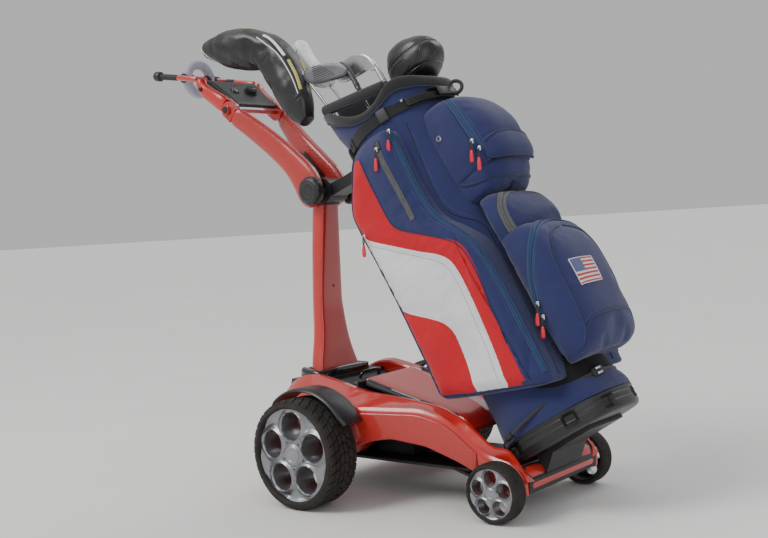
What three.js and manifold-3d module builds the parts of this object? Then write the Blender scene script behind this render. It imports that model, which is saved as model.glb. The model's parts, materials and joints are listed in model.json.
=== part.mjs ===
// Golf bag on a powered push cart, in millimetres.
// +X points forward (towards the small wheels), +Y to the left, +Z up.
// The origin is on the ground, at the middle of the object's bounding box.
import * as THREE from "three";
import { mergeVertices } from "three/addons/utils/BufferGeometryUtils.js";
import Module from "manifold-3d";

const wasm = await Module();
wasm.setup();

// ---------------------------------------------------------------- driving dimensions
const REAR_AXLE_X = -8.8; // rear axle behind the origin
const WHEELBASE = 445;
const GAP = 0.4; // air between pieces that touch

const REAR = { radius: 122.5, rimRadius: 99, width: 93, outerFace: 315, sides: 28 };
const FRONT = { radius: 63, rimRadius: 51, width: 47, outerFace: 203, sides: 20 };

const BAG_LEAN = 30.5; // degrees back from upright
const BAG_FOOT = [529, 147]; // middle of the bag's base, x and z, from the rear axle
const TUBE_RADIUS = 130;
const TUBE_WALL = 4;
const STRAP_HEIGHT = 778;
const CUFF_HEIGHT = 802;

const HINGE = [-118, 704]; // handle hinge, x and z, from the rear axle
const TILT = [-368, 925]; // pivot of the upper handle
const ARM_THICKNESS = 26;

// ---------------------------------------------------------------- materials
const paint = (color, roughness, metalness = 0) =>
  new THREE.MeshStandardMaterial({ color, roughness, metalness });
const RED = paint(0xb5160f, 0.25, 0.1);
const BLACK = paint(0x141416, 0.5);
const RUBBER = paint(0x1c1a19, 0.85);
const SILVER = paint(0x8b8c8f, 0.35, 0.8);
const STEEL = paint(0xb8b9bb, 0.25, 1);
const NAVY = paint(0x1b2547, 0.85);
const GREY = paint(0xa9a9b5, 0.6);
const WHITE = paint(0xe6e6e8, 0.7);
const PULL_RED = paint(0xd81420, 0.5);
const COPPER_BOARD = paint(0x14522d, 0.6);

// ---------------------------------------------------------------- shape helpers
// One closed mesh with shared vertices, no empty triangles and its faces pointing out.
function weld(geometry) {
  const bare = geometry.clone();
  bare.deleteAttribute("normal");
  bare.deleteAttribute("uv");
  const merged = mergeVertices(bare, 1e-4);
  const place = merged.getAttribute("position");
  const old = merged.getIndex().array;
  const index = [];
  let volume = 0;
  const a = new THREE.Vector3();
  const b = new THREE.Vector3();
  const c = new THREE.Vector3();
  for (let i = 0; i < old.length; i += 3) {
    const [p, q, r] = [old[i], old[i + 1], old[i + 2]];
    if (p === q || q === r || r === p) continue;
    a.fromBufferAttribute(place, p);
    b.fromBufferAttribute(place, q);
    c.fromBufferAttribute(place, r);
    volume += a.dot(b.cross(c));
    index.push(p, q, r);
  }
  if (volume < 0) index.reverse();
  const out = new THREE.BufferGeometry();
  out.setAttribute("position", place);
  out.setIndex(index);
  return out;
}

function toManifold(geometry) {
  const g = weld(geometry);
  return new wasm.Manifold(
    new wasm.Mesh({
      numProp: 3,
      vertProperties: new Float32Array(g.getAttribute("position").array),
      triVerts: new Uint32Array(g.getIndex().array),
    }),
  );
}

function fromManifold(solid) {
  const mesh = solid.getMesh();
  const g = new THREE.BufferGeometry();
  g.setAttribute("position", new THREE.BufferAttribute(mesh.vertProperties, 3));
  g.setIndex(new THREE.BufferAttribute(mesh.triVerts, 1));
  return g;
}

const cut = (body, ...tools) =>
  fromManifold(tools.reduce((left, tool) => left.subtract(toManifold(tool)), toManifold(body)));
const join = (body, ...others) =>
  fromManifold(others.reduce((left, other) => left.add(toManifold(other)), toManifold(body)));

// A solid of revolution about Y from [radius, y] points that close on the axis or on themselves.
function turned(points, sides, ring = false) {
  const profile = points.map(([r, y]) => new THREE.Vector2(r, y));
  if (ring) profile.push(profile[0].clone());
  return new THREE.LatheGeometry(profile, sides);
}

// An outline in X and Z, extruded across Y from y0 to y1.
function acrossY(shape, y0, y1, curveSegments = 6) {
  const g = new THREE.ExtrudeGeometry(shape, {
    depth: y1 - y0,
    bevelEnabled: false,
    curveSegments,
  });
  return g.rotateX(Math.PI / 2).translate(0, y1, 0);
}

function polygon(points) {
  return new THREE.Shape(points.map(([x, y]) => new THREE.Vector2(x, y)));
}

function box(x0, x1, y0, y1, z0, z1) {
  return new THREE.BoxGeometry(x1 - x0, y1 - y0, z1 - z0).translate(
    (x0 + x1) / 2,
    (y0 + y1) / 2,
    (z0 + z1) / 2,
  );
}

function barY(radius, x, z, y0, y1, sides = 12) {
  return new THREE.CylinderGeometry(radius, radius, y1 - y0, sides).translate(x, (y0 + y1) / 2, z);
}

// A closed skin through rings of points, one ring for each station, with flat ends.
function loft(rings) {
  const sides = rings[0].length;
  const points = rings.flat();
  const index = [];
  for (let ring = 0; ring + 1 < rings.length; ring += 1) {
    for (let side = 0; side < sides; side += 1) {
      const a = ring * sides + side;
      const b = ring * sides + ((side + 1) % sides);
      index.push(a, b, b + sides, a, b + sides, a + sides);
    }
  }
  for (const [ring, flip] of [[0, true], [rings.length - 1, false]]) {
    const start = ring * sides;
    for (let side = 1; side + 1 < sides; side += 1) {
      const pair = flip ? [side + 1, side] : [side, side + 1];
      index.push(start, start + pair[0], start + pair[1]);
    }
  }
  const g = new THREE.BufferGeometry();
  g.setAttribute("position", new THREE.Float32BufferAttribute(points.flat(), 3));
  g.setIndex(index);
  return g;
}

// Rounded box outline of half sizes a and b: a superellipse with its corners pulled out.
function roundedRing(a, b, power, sides) {
  const ring = [];
  for (let i = 0; i < sides; i += 1) {
    const angle = (2 * Math.PI * i) / sides;
    const c = Math.cos(angle);
    const s = Math.sin(angle);
    ring.push([
      a * Math.sign(c) * Math.abs(c) ** (2 / power),
      b * Math.sign(s) * Math.abs(s) ** (2 / power),
    ]);
  }
  return ring;
}

// A straight-line reading between [position, value] pairs.
function reading(pairs, at) {
  if (at <= pairs[0][0]) return pairs[0][1];
  for (let i = 1; i < pairs.length; i += 1) {
    const [x0, v0] = pairs[i - 1];
    const [x1, v1] = pairs[i];
    if (at <= x1) return v0 + ((v1 - v0) * (at - x0)) / (x1 - x0);
  }
  return pairs[pairs.length - 1][1];
}

const cart = new THREE.Group();
cart.position.x = REAR_AXLE_X;

function add(name, geometry, material, parent = cart) {
  const mesh = new THREE.Mesh(weld(geometry), material);
  mesh.name = name;
  parent.add(mesh);
  return mesh;
}

const SIDES = [["right", -1], ["left", 1]];
// Mirrors a right-hand shape (negative Y) to the asked side.
const mirrored = (geometry, side) => (side < 0 ? geometry : geometry.clone().scale(1, -1, 1));

// ---------------------------------------------------------------- wheels
// A tyre standing on a flat facet, with rounded shoulders.
function tyre({ radius, rimRadius, width, sides }) {
  const half = width / 2;
  const profile = [
    [rimRadius + 0.6, -half + 4],
    [rimRadius + 8, -half],
    [radius - 5, -half + 4],
    [radius, -half + 13],
    [radius, half - 13],
    [radius - 5, half - 4],
    [rimRadius + 8, half],
    [rimRadius + 0.6, half - 4],
  ];
  return turned(profile, sides, true).rotateY(Math.PI / sides);
}

// A dished rim with a hub boss on its inner side (-Y), five round windows and a blind axle bore.
function rim({ rimRadius, width, sides }, windows, bore) {
  const half = width / 2;
  const profile = [
    [0, half - 6],
    [windows.inner, half - 6],
    [windows.outer, half - 12],
    [rimRadius - 0.6, half - 3],
    [rimRadius - 0.6, -half + 8],
    [rimRadius - 7, -half + 8],
    [rimRadius - 8, half - 26],
    [bore + 9, half - 26],
    [bore + 9, -half + 10],
    [bore, -half + 10],
    [bore, half - 18],
    [0, half - 18],
  ];
  const body = turned(profile, sides);
  const tools = [];
  for (let i = 0; i < 5; i += 1) {
    const angle = (2 * Math.PI * i) / 5 + Math.PI / 2;
    tools.push(
      barY(
        windows.radius,
        windows.centre * Math.cos(angle),
        windows.centre * Math.sin(angle),
        -half,
        half,
        8,
      ),
    );
  }
  return cut(body, ...tools);
}
const REAR_WINDOWS = { inner: 34, outer: 90, centre: 62, radius: 24 };
const FRONT_WINDOWS = { inner: 17, outer: 45, centre: 31, radius: 11 };
const SHAFT_RADIUS = 8;
const rearHeight = REAR.radius * Math.cos(Math.PI / REAR.sides);
const frontHeight = FRONT.radius * Math.cos(Math.PI / FRONT.sides);

for (const [word, side] of SIDES) {
  for (const [end, wheel, x, z, windows, bore] of [
    ["rear", REAR, 0, rearHeight, REAR_WINDOWS, SHAFT_RADIUS + GAP],
    ["front", FRONT, WHEELBASE, frontHeight, FRONT_WINDOWS, SHAFT_RADIUS - 1 + GAP],
  ]) {
    const hub = new THREE.Group();
    hub.position.set(x, side * (wheel.outerFace - wheel.width / 2), z);
    cart.add(hub);
    add(`${end}_tyre_${word}`, tyre(wheel), RUBBER, hub);
    add(`${end}_rim_${word}`, mirrored(rim(wheel, windows, bore), -side), SILVER, hub);
  }
  const shaftInner = 124;
  const shaftOuter = REAR.outerFace - 19;
  const shaft = barY(SHAFT_RADIUS, 0, rearHeight, -shaftOuter, -shaftInner, 10);
  add(`drive_shaft_${word}`, mirrored(shaft, side), STEEL);
}
const frontAxle = barY(SHAFT_RADIUS - 1, WHEELBASE, frontHeight, -183, 183, 10);
add("front_axle", frontAxle, STEEL);

// ---------------------------------------------------------------- chassis
// Station tables along X, measured from the rear axle: heights and half widths of one side beam.
const BEAM_X = [-186, -150, -110, -70, -20, 40, 100, 170, 240, 300, 345, 380, 405, 430, 458, 482, 500];
const BEAM_TOP = [[-186, 216], [-150, 252], [-110, 270], [-70, 274], [-20, 264], [70, 243], [200, 231],
  [284, 218], [343, 196], [387, 168], [410, 148], [430, 142], [455, 146], [482, 112], [500, 84]];
const BEAM_CREASE = [[-186, 180], [-150, 200], [-20, 204], [250, 206], [310, 190], [347, 165], [374, 140],
  [400, 120], [430, 110], [458, 106], [482, 90], [500, 70]];
const BEAM_LOW = [[-186, 110], [-150, 92], [40, 92], [80, 122], [130, 140], [184, 148], [268, 136],
  [345, 106], [380, 88], [410, 52], [430, 42], [470, 42], [500, 52]];
const BEAM_OUTER = [[-186, 176], [-150, 200], [100, 201], [395, 151], [500, 148]];
const BEAM_INNER = [[-186, 120], [300, 119], [345, 128], [380, 137], [500, 137]];

function sideBeam() {
  const rings = BEAM_X.map((x) => {
    const [top, crease, low] = [BEAM_TOP, BEAM_CREASE, BEAM_LOW].map((line) => reading(line, x));
    const [outer, inner] = [BEAM_OUTER, BEAM_INNER].map((line) => reading(line, x));
    const shoulder = inner + 0.3 * (outer - inner);
    return [
      [x, -inner, low],
      [x, -inner, top - 3],
      [x, -shoulder, top],
      [x, -(outer - 5), crease + 8],
      [x, -outer, crease],
      [x, -outer, low + 4],
      [x, -(outer - 5), low],
    ];
  });
  return loft(rings);
}

const AXLE_CLEARANCE = 3;
const shaftTunnel = barY(SHAFT_RADIUS + AXLE_CLEARANCE, 0, rearHeight, -230, -100, 12);
const frontTunnel = barY(SHAFT_RADIUS - 1 + GAP, WHEELBASE, frontHeight, -170, -90, 10);
const beam = cut(sideBeam(), shaftTunnel, frontTunnel);

// A thin cover over the beam's outer face.
function sidePanel() {
  const thickness = 3.5;
  const stations = [60, 100, 140, 184, 225, 268, 310, 345, 372, 386];
  return loft(
    stations.map((x) => {
      const face = reading(BEAM_OUTER, x) + GAP;
      const low = reading(BEAM_LOW, x) + 1;
      const high = Math.max(reading(BEAM_CREASE, x), low + 14);
      return [
        [x, -face, low],
        [x, -face, high],
        [x, -face - thickness + 1, high],
        [x, -face - thickness, high - 3],
        [x, -face - thickness, low],
      ];
    }),
  );
}

// An arched guard over the inner edge of a rear tyre.
function mudguard() {
  const inner = REAR.radius + 12;
  const outline = new THREE.Shape();
  outline.absarc(0, 0, inner + 7, THREE.MathUtils.degToRad(28), THREE.MathUtils.degToRad(140), false);
  outline.absarc(0, 0, inner, THREE.MathUtils.degToRad(140), THREE.MathUtils.degToRad(28), true);
  const guard = acrossY(outline, -272, -201.8, 10).translate(0, 0, rearHeight);
  return cut(guard, box(56, 200, -205.4, -190, 0, 400));
}

for (const [word, side] of SIDES) {
  add(`side_beam_${word}`, mirrored(beam, side), RED);
  add(`side_panel_${word}`, mirrored(sidePanel(), side), RED);
  add(`mudguard_${word}`, mirrored(mudguard(), side), BLACK);
  const motor = turned(
    [[0, 0], [15, 0], [31, 5], [34, 10], [34, 92], [12, 100], [12, 104], [0, 104]], 14,
  ).translate(0, -119, rearHeight);
  add(`gearmotor_${word}`, mirrored(motor, side), STEEL);
}

// Floor between the beams, rising at its back, with the nose crossmember at its front.
const INSIDE = 119 - GAP;
const NOSE_INSIDE = 137 - GAP;
const floor = polygon([[-184, 112], [-150, 80], [340, 80], [340, 86], [-146, 86], [-180, 116]]);
const nose = polygon([
  [400, 62], [412, 46], [430, 42], [430, 72], [460, 72], [460, 42], [474, 42], [498, 56], [500, 80],
  [482, 106], [455, 94], [422, 74], [400, 72],
]);
function rampSkin() {
  return loft(
    [[296, 80, 86], [345, 70, 76], [380, 67, 73], [406, 66, 72]].map(([x, low, high]) => {
      const half = reading(BEAM_INNER, x) - GAP;
      return [[x, -half, low], [x, -half, high], [x, half, high], [x, half, low]];
    }),
  );
}
const chassisFloor = join(
  acrossY(floor, -INSIDE, INSIDE),
  rampSkin(),
  acrossY(nose, -NOSE_INSIDE, NOSE_INSIDE),
);
add("chassis_floor", chassisFloor, BLACK);

// Socket that the mast stands in, with its raised collar and the tray in front of it.
const socket = polygon([
  [-180, 120], [-144, 88], [-46, 88], [-46, 196], [38, 196], [38, 256], [34, 256], [34, 201], [-50, 201],
  [-52, 236], [-84, 246], [-84, 254], [-176, 254], [-180, 240],
]);
function collar() {
  const outline = polygon(roundedRing(52, 90, 4, 20));
  const hole = new THREE.Path(
    roundedRing(27, 78, 6, 20).map(([x, y]) => new THREE.Vector2(x, y)),
  );
  outline.holes.push(hole);
  return new THREE.ExtrudeGeometry(outline, { depth: 18, bevelEnabled: false });
}
const motorRoom = barY(34 + GAP, 0, rearHeight, -130, 130, 14);
const mastSocket = cut(
  join(acrossY(socket, -INSIDE, INSIDE), collar().translate(-141, 0, 252)),
  motorRoom,
);
add("mast_socket", mastSocket, BLACK);

const DECK = [[44, 262], [150, 234], [300, 196], [340, 170]];
const deckCover = polygon([
  ...DECK.map(([x, z]) => [x, z]),
  ...DECK.map(([x, z]) => [x - 2, z - 6]).reverse(),
]);
add("deck_cover", acrossY(deckCover, -96, 96), RED);
add("battery_pack", box(46, 150, -70, 70, 88, 190), BLACK);
add("control_board", box(170, 260, -45, 45, 92, 95), COPPER_BOARD);

// ---------------------------------------------------------------- mast
const MAST_HALF_WIDTH = [[254, 74], [284, 66], [320, 54], [360, 46], [430, 40], [660, 30], [690, 29]];
const MAST_FRONT = [[254, -119], [300, -126], [430, -136], [560, -128], [660, -121], [690, -119]];
const MAST_REAR = [[254, -160], [300, -170], [430, -177], [560, -173], [660, -167], [690, -163]];
const mastRings = [254.4, 284, 320, 360, 430, 500, 580, 670].map((z) => {
  const w = reading(MAST_HALF_WIDTH, z);
  const front = reading(MAST_FRONT, z);
  const rear = reading(MAST_REAR, z);
  return [
    [front, -w + 3, z], [front, w - 3, z], [front - 3, w, z], [rear + 8, w, z],
    [rear, w - 10, z], [rear, -w + 10, z], [rear + 8, -w, z], [front - 3, -w, z],
  ];
});
add("mast", loft(mastRings), RED);

// ---------------------------------------------------------------- hinge at the mast top
const [HX, HZ] = HINGE;
const HEAD_RADIUS = 30;
const HEAD_HALF = 31;
const BORE = 9;
const mastHead = cut(
  join(barY(HEAD_RADIUS, HX, HZ, -HEAD_HALF, HEAD_HALF, 20), box(-164, -118, -28, 28, 670.4, 712)),
  barY(BORE + GAP, HX, HZ, -50, 50, 12),
);
add("mast_head", mastHead, BLACK);
add("hinge_pin", barY(BORE, HX, HZ, -81, 81, 12), STEEL);

// ---------------------------------------------------------------- handle
// Centre line of an arm: x, z, half width in its own plane, and distance from the middle.
const LOWER_ARM = [
  [-128, 676, 26, 45], [-142, 700, 39, 45], [-158, 732, 40, 45], [-192, 772, 33, 46], [-238, 814, 30, 50],
  [-288, 857, 27.5, 62], [-330, 893, 25, 78], [-350, 910, 23, 84], [TILT[0], TILT[1], 22, 84],
];
const UPPER_ARM = [
  [TILT[0], TILT[1], 22, 84], [-388, 940, 21, 84], [-412, 958, 19, 88], [-438, 978, 16, 96],
  [-453, 996, 13, 99], [-457, 1012, 11, 100],
];
const LAP_RADIUS = 24;

function armRings(line) {
  return line.map(([x, z, half, middle], i) => {
    const [x0, z0] = line[Math.max(i - 1, 0)];
    const [x1, z1] = line[Math.min(i + 1, line.length - 1)];
    const length = Math.hypot(x1 - x0, z1 - z0);
    const [nx, nz] = [(z1 - z0) / length, -(x1 - x0) / length];
    const reach = ARM_THICKNESS / 2;
    const at = (u, v) => [x + nx * u * half, -(middle + v * reach), z + nz * u * half];
    return [
      at(-1, -0.5), at(-1, 0.5), at(-0.6, 1), at(0.6, 1),
      at(1, 0.5), at(1, -0.5), at(0.6, -1), at(-0.6, -1),
    ];
  });
}

// The two arms overlap in a half lap round the tilt pivot, one on each side of the lap's middle.
const [TX, TZ] = TILT;
const LAP_MIDDLE = -84;
const LAP_FACE = ARM_THICKNESS / 2;
const lapDisc = (y0, y1) => barY(LAP_RADIUS - 2, TX, TZ, y0, y1, 16);
const lapRoom = (y0, y1) => barY(LAP_RADIUS, TX, TZ, y0, y1, 16);
const PIVOT_BORE = 5;
const pivotHole = barY(PIVOT_BORE + GAP, TX, TZ, -120, -50, 10);
const hingeHole = barY(BORE + GAP, HX, HZ, -90, 0, 12);
const lowerArm = cut(
  join(loft(armRings(LOWER_ARM)), lapDisc(LAP_MIDDLE - LAP_FACE, LAP_MIDDLE)),
  lapRoom(LAP_MIDDLE - GAP / 2, LAP_MIDDLE + 40),
  pivotHole,
  hingeHole,
);
const upperArm = cut(
  join(loft(armRings(UPPER_ARM)), lapDisc(LAP_MIDDLE, LAP_MIDDLE + LAP_FACE)),
  lapRoom(LAP_MIDDLE - 40, LAP_MIDDLE + GAP / 2),
  pivotHole,
);

function hingeKnob() {
  const hole = BORE + GAP;
  return turned([[0, 23], [hole, 23], [hole, 0], [30, 0], [36, 5], [36, 18], [30, 25], [0, 27]], 20)
    .rotateX(Math.PI)
    .translate(HX, -59, HZ);
}

// Bar on which the upper handle tilts: a thin brace between the arms with a round head at each end.
function tiltBar() {
  const right = join(barY(12, TX, TZ, -104, -97.5, 14), barY(PIVOT_BORE, TX, TZ, -98, 10, 10));
  return join(right, mirrored(right, 1));
}
add("tilt_bar", tiltBar(), RED);

const ROD_START = [-458, 1014];
const ROD_END = [-624, 1043];
const ROD_RADIUS = 7;
const rodAngle = Math.atan2(ROD_END[1] - ROD_START[1], ROD_START[0] - ROD_END[0]);
const rodLength = Math.hypot(ROD_END[0] - ROD_START[0], ROD_END[1] - ROD_START[1]);
const ROD_Y = 100;

// A rod or cap turned about the rod's line; profile heights run from its front end to its back end.
function onRod(points, sides) {
  return turned(points, sides)
    .rotateZ(Math.PI / 2)
    .rotateY(rodAngle)
    .translate(ROD_START[0], -ROD_Y, ROD_START[1]);
}

for (const [word, side] of SIDES) {
  add(`lower_arm_${word}`, mirrored(lowerArm, side), RED);
  add(`hinge_knob_${word}`, mirrored(hingeKnob(), side), BLACK);
  add(`upper_arm_${word}`, mirrored(upperArm, side), RED);
}

// Grip frame: a rod with an end cap behind each upper arm, and a bar across between them.
const RING = { x: -580, z: 1036, radius: 40, tube: 13 };
const rod = onRod(
  [[0, 14], [ROD_RADIUS, 14], [ROD_RADIUS, rodLength - 10], [13, rodLength - 8], [13, rodLength + 8],
    [9, rodLength + 12], [0, rodLength + 12]],
  10,
);
add("grip_frame", join(rod, mirrored(rod, 1), barY(8, RING.x, RING.z, -ROD_Y, ROD_Y, 10)), RED);

// Web that ties the lower arms together above the hinge.
const web = polygon([[-163, 744], [-175, 735], [-238, 800], [-228, 812]]);
add("arm_web", acrossY(web, -31.6, 31.6), BLACK);

// Control console between the upper arms, with a brace under its lower edge.
const CONSOLE_LOW = [-362, 938];
const CONSOLE_HIGH = [-452, 1008];
const consoleRise = CONSOLE_HIGH[1] - CONSOLE_LOW[1];
const consoleRun = CONSOLE_LOW[0] - CONSOLE_HIGH[0];
const consoleLean = Math.atan2(consoleRise, consoleRun);
const consoleRings = [[0, 70.4], [0.42, 70.4], [1, 84]].map(([along, half]) => {
  const x = CONSOLE_LOW[0] - along * consoleRun;
  const z = CONSOLE_LOW[1] + along * consoleRise;
  const [ux, uz] = [Math.sin(consoleLean) * 7, Math.cos(consoleLean) * 7];
  return [
    [x - ux, -half, z - uz], [x - ux, half, z - uz], [x + ux, half, z + uz], [x + ux, -half, z + uz],
  ];
});
const BUTTON = { radius: 9, travel: 2, along: 0.55, y: -30 };
const DIAL = { radius: 15, along: 0.55, y: 26 };
// A round piece standing on the console; heights are measured from the console's middle plane.
function onConsole(points, sides, { along, y }) {
  const x = CONSOLE_LOW[0] - along * consoleRun;
  const z = CONSOLE_LOW[1] + along * consoleRise;
  return turned(points, sides).rotateX(Math.PI / 2).rotateY(consoleLean).translate(x, y, z);
}
const pocket = (radius, place, from) =>
  onConsole([[0, from], [radius, from], [radius, 30], [0, 30]], 16, place);
const consoleBody = cut(
  loft(consoleRings),
  pocket(BUTTON.radius + GAP, BUTTON, 1),
  pocket(5 + GAP, DIAL, 1),
);
add("console", consoleBody, BLACK);
add(
  "power_button",
  onConsole(
    [[0, 1.2 + BUTTON.travel], [BUTTON.radius, 1.2 + BUTTON.travel], [BUTTON.radius, 10], [8, 11], [0, 11]],
    16,
    BUTTON,
  ),
  RUBBER,
);
add(
  "speed_dial",
  onConsole(
    [[0, 1.4], [5, 1.4], [5, 7.4], [DIAL.radius, 7.4], [DIAL.radius, 16], [13, 18], [0, 18]],
    18,
    DIAL,
  ),
  BLACK,
);

// Soft ring for one-handed steering, round the middle of the grip frame's bar.
function gripRing() {
  return cut(
    new THREE.TorusGeometry(RING.radius, RING.tube, 8, 20)
      .rotateY(Math.PI / 2)
      .scale(1.1, 1, 1)
      .translate(RING.x, 0, RING.z),
    barY(8 + GAP, RING.x, RING.z, -70, 70, 10),
  );
}
add("grip_ring", gripRing(), GREY);

// ---------------------------------------------------------------- bag
// Everything in this group is in the bag's own frame: X out of its front, Z up along its length.
const bag = new THREE.Group();
bag.position.set(BAG_FOOT[0], 0, BAG_FOOT[1]);
bag.rotation.y = THREE.MathUtils.degToRad(-BAG_LEAN);
cart.add(bag);

const BASE_HEIGHT = 44;
const tubeProfile = [
  [0, BASE_HEIGHT + GAP], [TUBE_RADIUS, BASE_HEIGHT + GAP], [TUBE_RADIUS, CUFF_HEIGHT],
  [TUBE_RADIUS - TUBE_WALL, CUFF_HEIGHT], [TUBE_RADIUS - TUBE_WALL, BASE_HEIGHT + 5], [0, BASE_HEIGHT + 5],
];
add("bag_tube", turned(tubeProfile, 28).rotateX(Math.PI / 2), NAVY, bag);
const tubeRoom = new THREE.CylinderGeometry(TUBE_RADIUS + GAP, TUBE_RADIUS + GAP, 1200, 28)
  .rotateX(Math.PI / 2)
  .translate(0, 0, 500);

const ringAt = (a, b, power, sides, centre, z) =>
  roundedRing(a, b, power, sides).map(([x, y]) => [centre + x, y, z]);
add(
  "bag_base",
  loft([
    ringAt(130, 122, 2.4, 24, 10, 0),
    ringAt(140, 131, 2.4, 24, 11, 8),
    ringAt(142, 133, 2.4, 24, 11, BASE_HEIGHT),
  ]),
  BLACK,
  bag,
);

// Cuff: a flared, padded rim, scooped low at its sides and high at its back.
const CUFF_RIM = [[-160, 935], [-128, 927], [-100, 908], [-62, 868], [-30, 840], [10, 828], [50, 830],
  [78, 850], [100, 857], [128, 850], [160, 832]];
function cuff() {
  const outer = loft([
    ringAt(132, 132, 2.1, 28, 0, CUFF_HEIGHT + GAP),
    ringAt(149, 140, 2.2, 28, 0, 860),
    ringAt(156, 143, 2.2, 28, 0, 940),
  ]);
  const inner = loft([
    ringAt(123, 123, 2.1, 28, 0, CUFF_HEIGHT - 10),
    ringAt(137, 128, 2.2, 28, 0, 860),
    ringAt(145, 132, 2.2, 28, 0, 950),
  ]);
  const above = polygon([...CUFF_RIM, [170, 832], [170, 1000], [-170, 1000], [-170, 935]]);
  return cut(outer, inner, acrossY(above, -200, 200));
}
add("bag_cuff", cuff(), BLACK, bag);

// Divider grid at the top of the tube, one cell for each club.
const DIVIDER = { low: 768, high: 796, wall: 7 };
const DIVIDER_X = [-78, -26, 26, 78];
const DIVIDER_Y = [-44, 0, 44];
function dividerGrid() {
  const { low, high, wall } = DIVIDER;
  const across = DIVIDER_X.map((x) => box(x - wall / 2, x + wall / 2, -130, 130, low, high));
  const along = DIVIDER_Y.map((y) => box(-130, 130, y - wall / 2, y + wall / 2, low, high));
  const grid = join(across[0], ...across.slice(1), ...along);
  const reach = TUBE_RADIUS - TUBE_WALL - 1.2;
  const bound = new THREE.CylinderGeometry(reach, reach, high - low, 28)
    .rotateX(Math.PI / 2)
    .translate(0, 0, (low + high) / 2);
  return fromManifold(toManifold(grid).intersect(toManifold(bound)));
}
add("club_dividers", dividerGrid(), BLACK, bag);

// Long pocket on each side, pillowed towards its outer face.
function sidePocket() {
  const outline = [
    [-150, 205], [-100, 172], [0, 132], [106, 100], [112, 300], [104, 430], [60, 520], [50, 640], [56, 748],
    [-20, 764], [-66, 752], [-112, 690], [-150, 640],
  ];
  const [cx, cz] = [-10, 430];
  const skin = (y, scale) => outline.map(([x, z]) => [cx + (x - cx) * scale, y, cz + (z - cz) * scale]);
  const body = loft([skin(-50, 0.99), skin(-146, 1), skin(-162, 0.975), skin(-170, 0.9)]);
  return cut(body, tubeRoom);
}
for (const [word, side] of SIDES) {
  add(`side_pocket_${word}`, mirrored(sidePocket(), side), NAVY, bag);
}

// Front pockets: stations up the bag, each with the reach of its front and its half width.
function frontPocket(stations, back) {
  const rings = stations.map(([z, front, half]) => {
    const centre = (front + back) / 2;
    return ringAt(front - centre, half, 3.2, 16, centre, z);
  });
  return cut(loft(rings), tubeRoom);
}
const BEHIND_BALL = 112.6;
const BEHIND_UPPER = 62;
const ballPocket = frontPocket([
  [120, 198, 94], [134, 214, 107], [166, 223, 113], [232, 230, 116], [298, 235, 116], [360, 231, 112],
  [400, 213, 104], [416, 196, 98],
], BEHIND_BALL);
const yoke = frontPocket([[410, 196, 100], [440, 198, 104], [480, 188, 100], [508, 170, 92]], BEHIND_BALL);
add("ball_pocket", join(ballPocket, yoke), NAVY, bag);
add("upper_pocket", frontPocket([
  [516, 178, 84], [560, 210, 90], [596, 229, 93], [664, 228, 93],
  [712, 210, 89], [740, 190, 82], [752, 166, 74],
], BEHIND_UPPER), NAVY, bag);

// Strap round the bag under the cuff, and the saddle that it pulls the bag into.
function arcBand(inner, outer, from, to, z0, z1, segments) {
  const shape = new THREE.Shape();
  const [a, b] = [from, to].map(THREE.MathUtils.degToRad);
  shape.absarc(0, 0, outer, a, b, false);
  shape.absarc(0, 0, inner, b, a, true);
  return new THREE.ExtrudeGeometry(shape, { depth: z1 - z0, bevelEnabled: false, curveSegments: segments })
    .translate(0, 0, z0);
}
const STRAP = { thickness: 3, width: 22, reach: 128 };
const strapInner = TUBE_RADIUS + GAP;
const strapBand = arcBand(
  strapInner, strapInner + STRAP.thickness, -STRAP.reach, STRAP.reach,
  STRAP_HEIGHT, STRAP_HEIGHT + STRAP.width, 24,
);
const buckle = box(132, 172, -14, 14, STRAP_HEIGHT, STRAP_HEIGHT + 23);
add("bag_strap", join(strapBand, cut(buckle, tubeRoom)), RUBBER, bag);

// Bracket: a curved saddle behind the bag and an arm back to the mast head.
function bracket() {
  const saddle = arcBand(strapInner, strapInner + 12, 132, 228, STRAP_HEIGHT - 12, CUFF_HEIGHT - 1, 12);
  const toBag = bag.matrixWorld.clone().invert();
  const arm = polygon([
    [HX + HEAD_RADIUS - 2, HZ - 14], [-20, 716], [26, 734], [22, 758], [-8, 750], [-60, 730],
    [HX + HEAD_RADIUS - 4, HZ + 16],
  ]);
  const round = barY(HEAD_RADIUS + GAP + 0.4, HX, HZ, -40, 40, 20);
  const strut = cut(acrossY(arm, -28, 28), round).applyMatrix4(toBag);
  return cut(join(saddle, strut), tubeRoom);
}
cart.position.x = 0;
cart.updateMatrixWorld(true);
add("bag_bracket", bracket(), BLACK, bag);
cart.position.x = REAR_AXLE_X;

// Foot plate under the bag's base, standing on the nose of the chassis.
const lean = THREE.MathUtils.degToRad(BAG_LEAN);
const fromBag = (x, z) => [
  BAG_FOOT[0] + x * Math.cos(lean) - z * Math.sin(lean),
  BAG_FOOT[1] + x * Math.sin(lean) + z * Math.cos(lean),
];
const footPlate = polygon([
  fromBag(-60, -GAP), fromBag(84, -GAP), fromBag(84, -8), fromBag(-20, -10), [499.5, 84], [483, 107.6],
]);
add("bag_cradle", acrossY(footPlate, -70, 70), BLACK);

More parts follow.
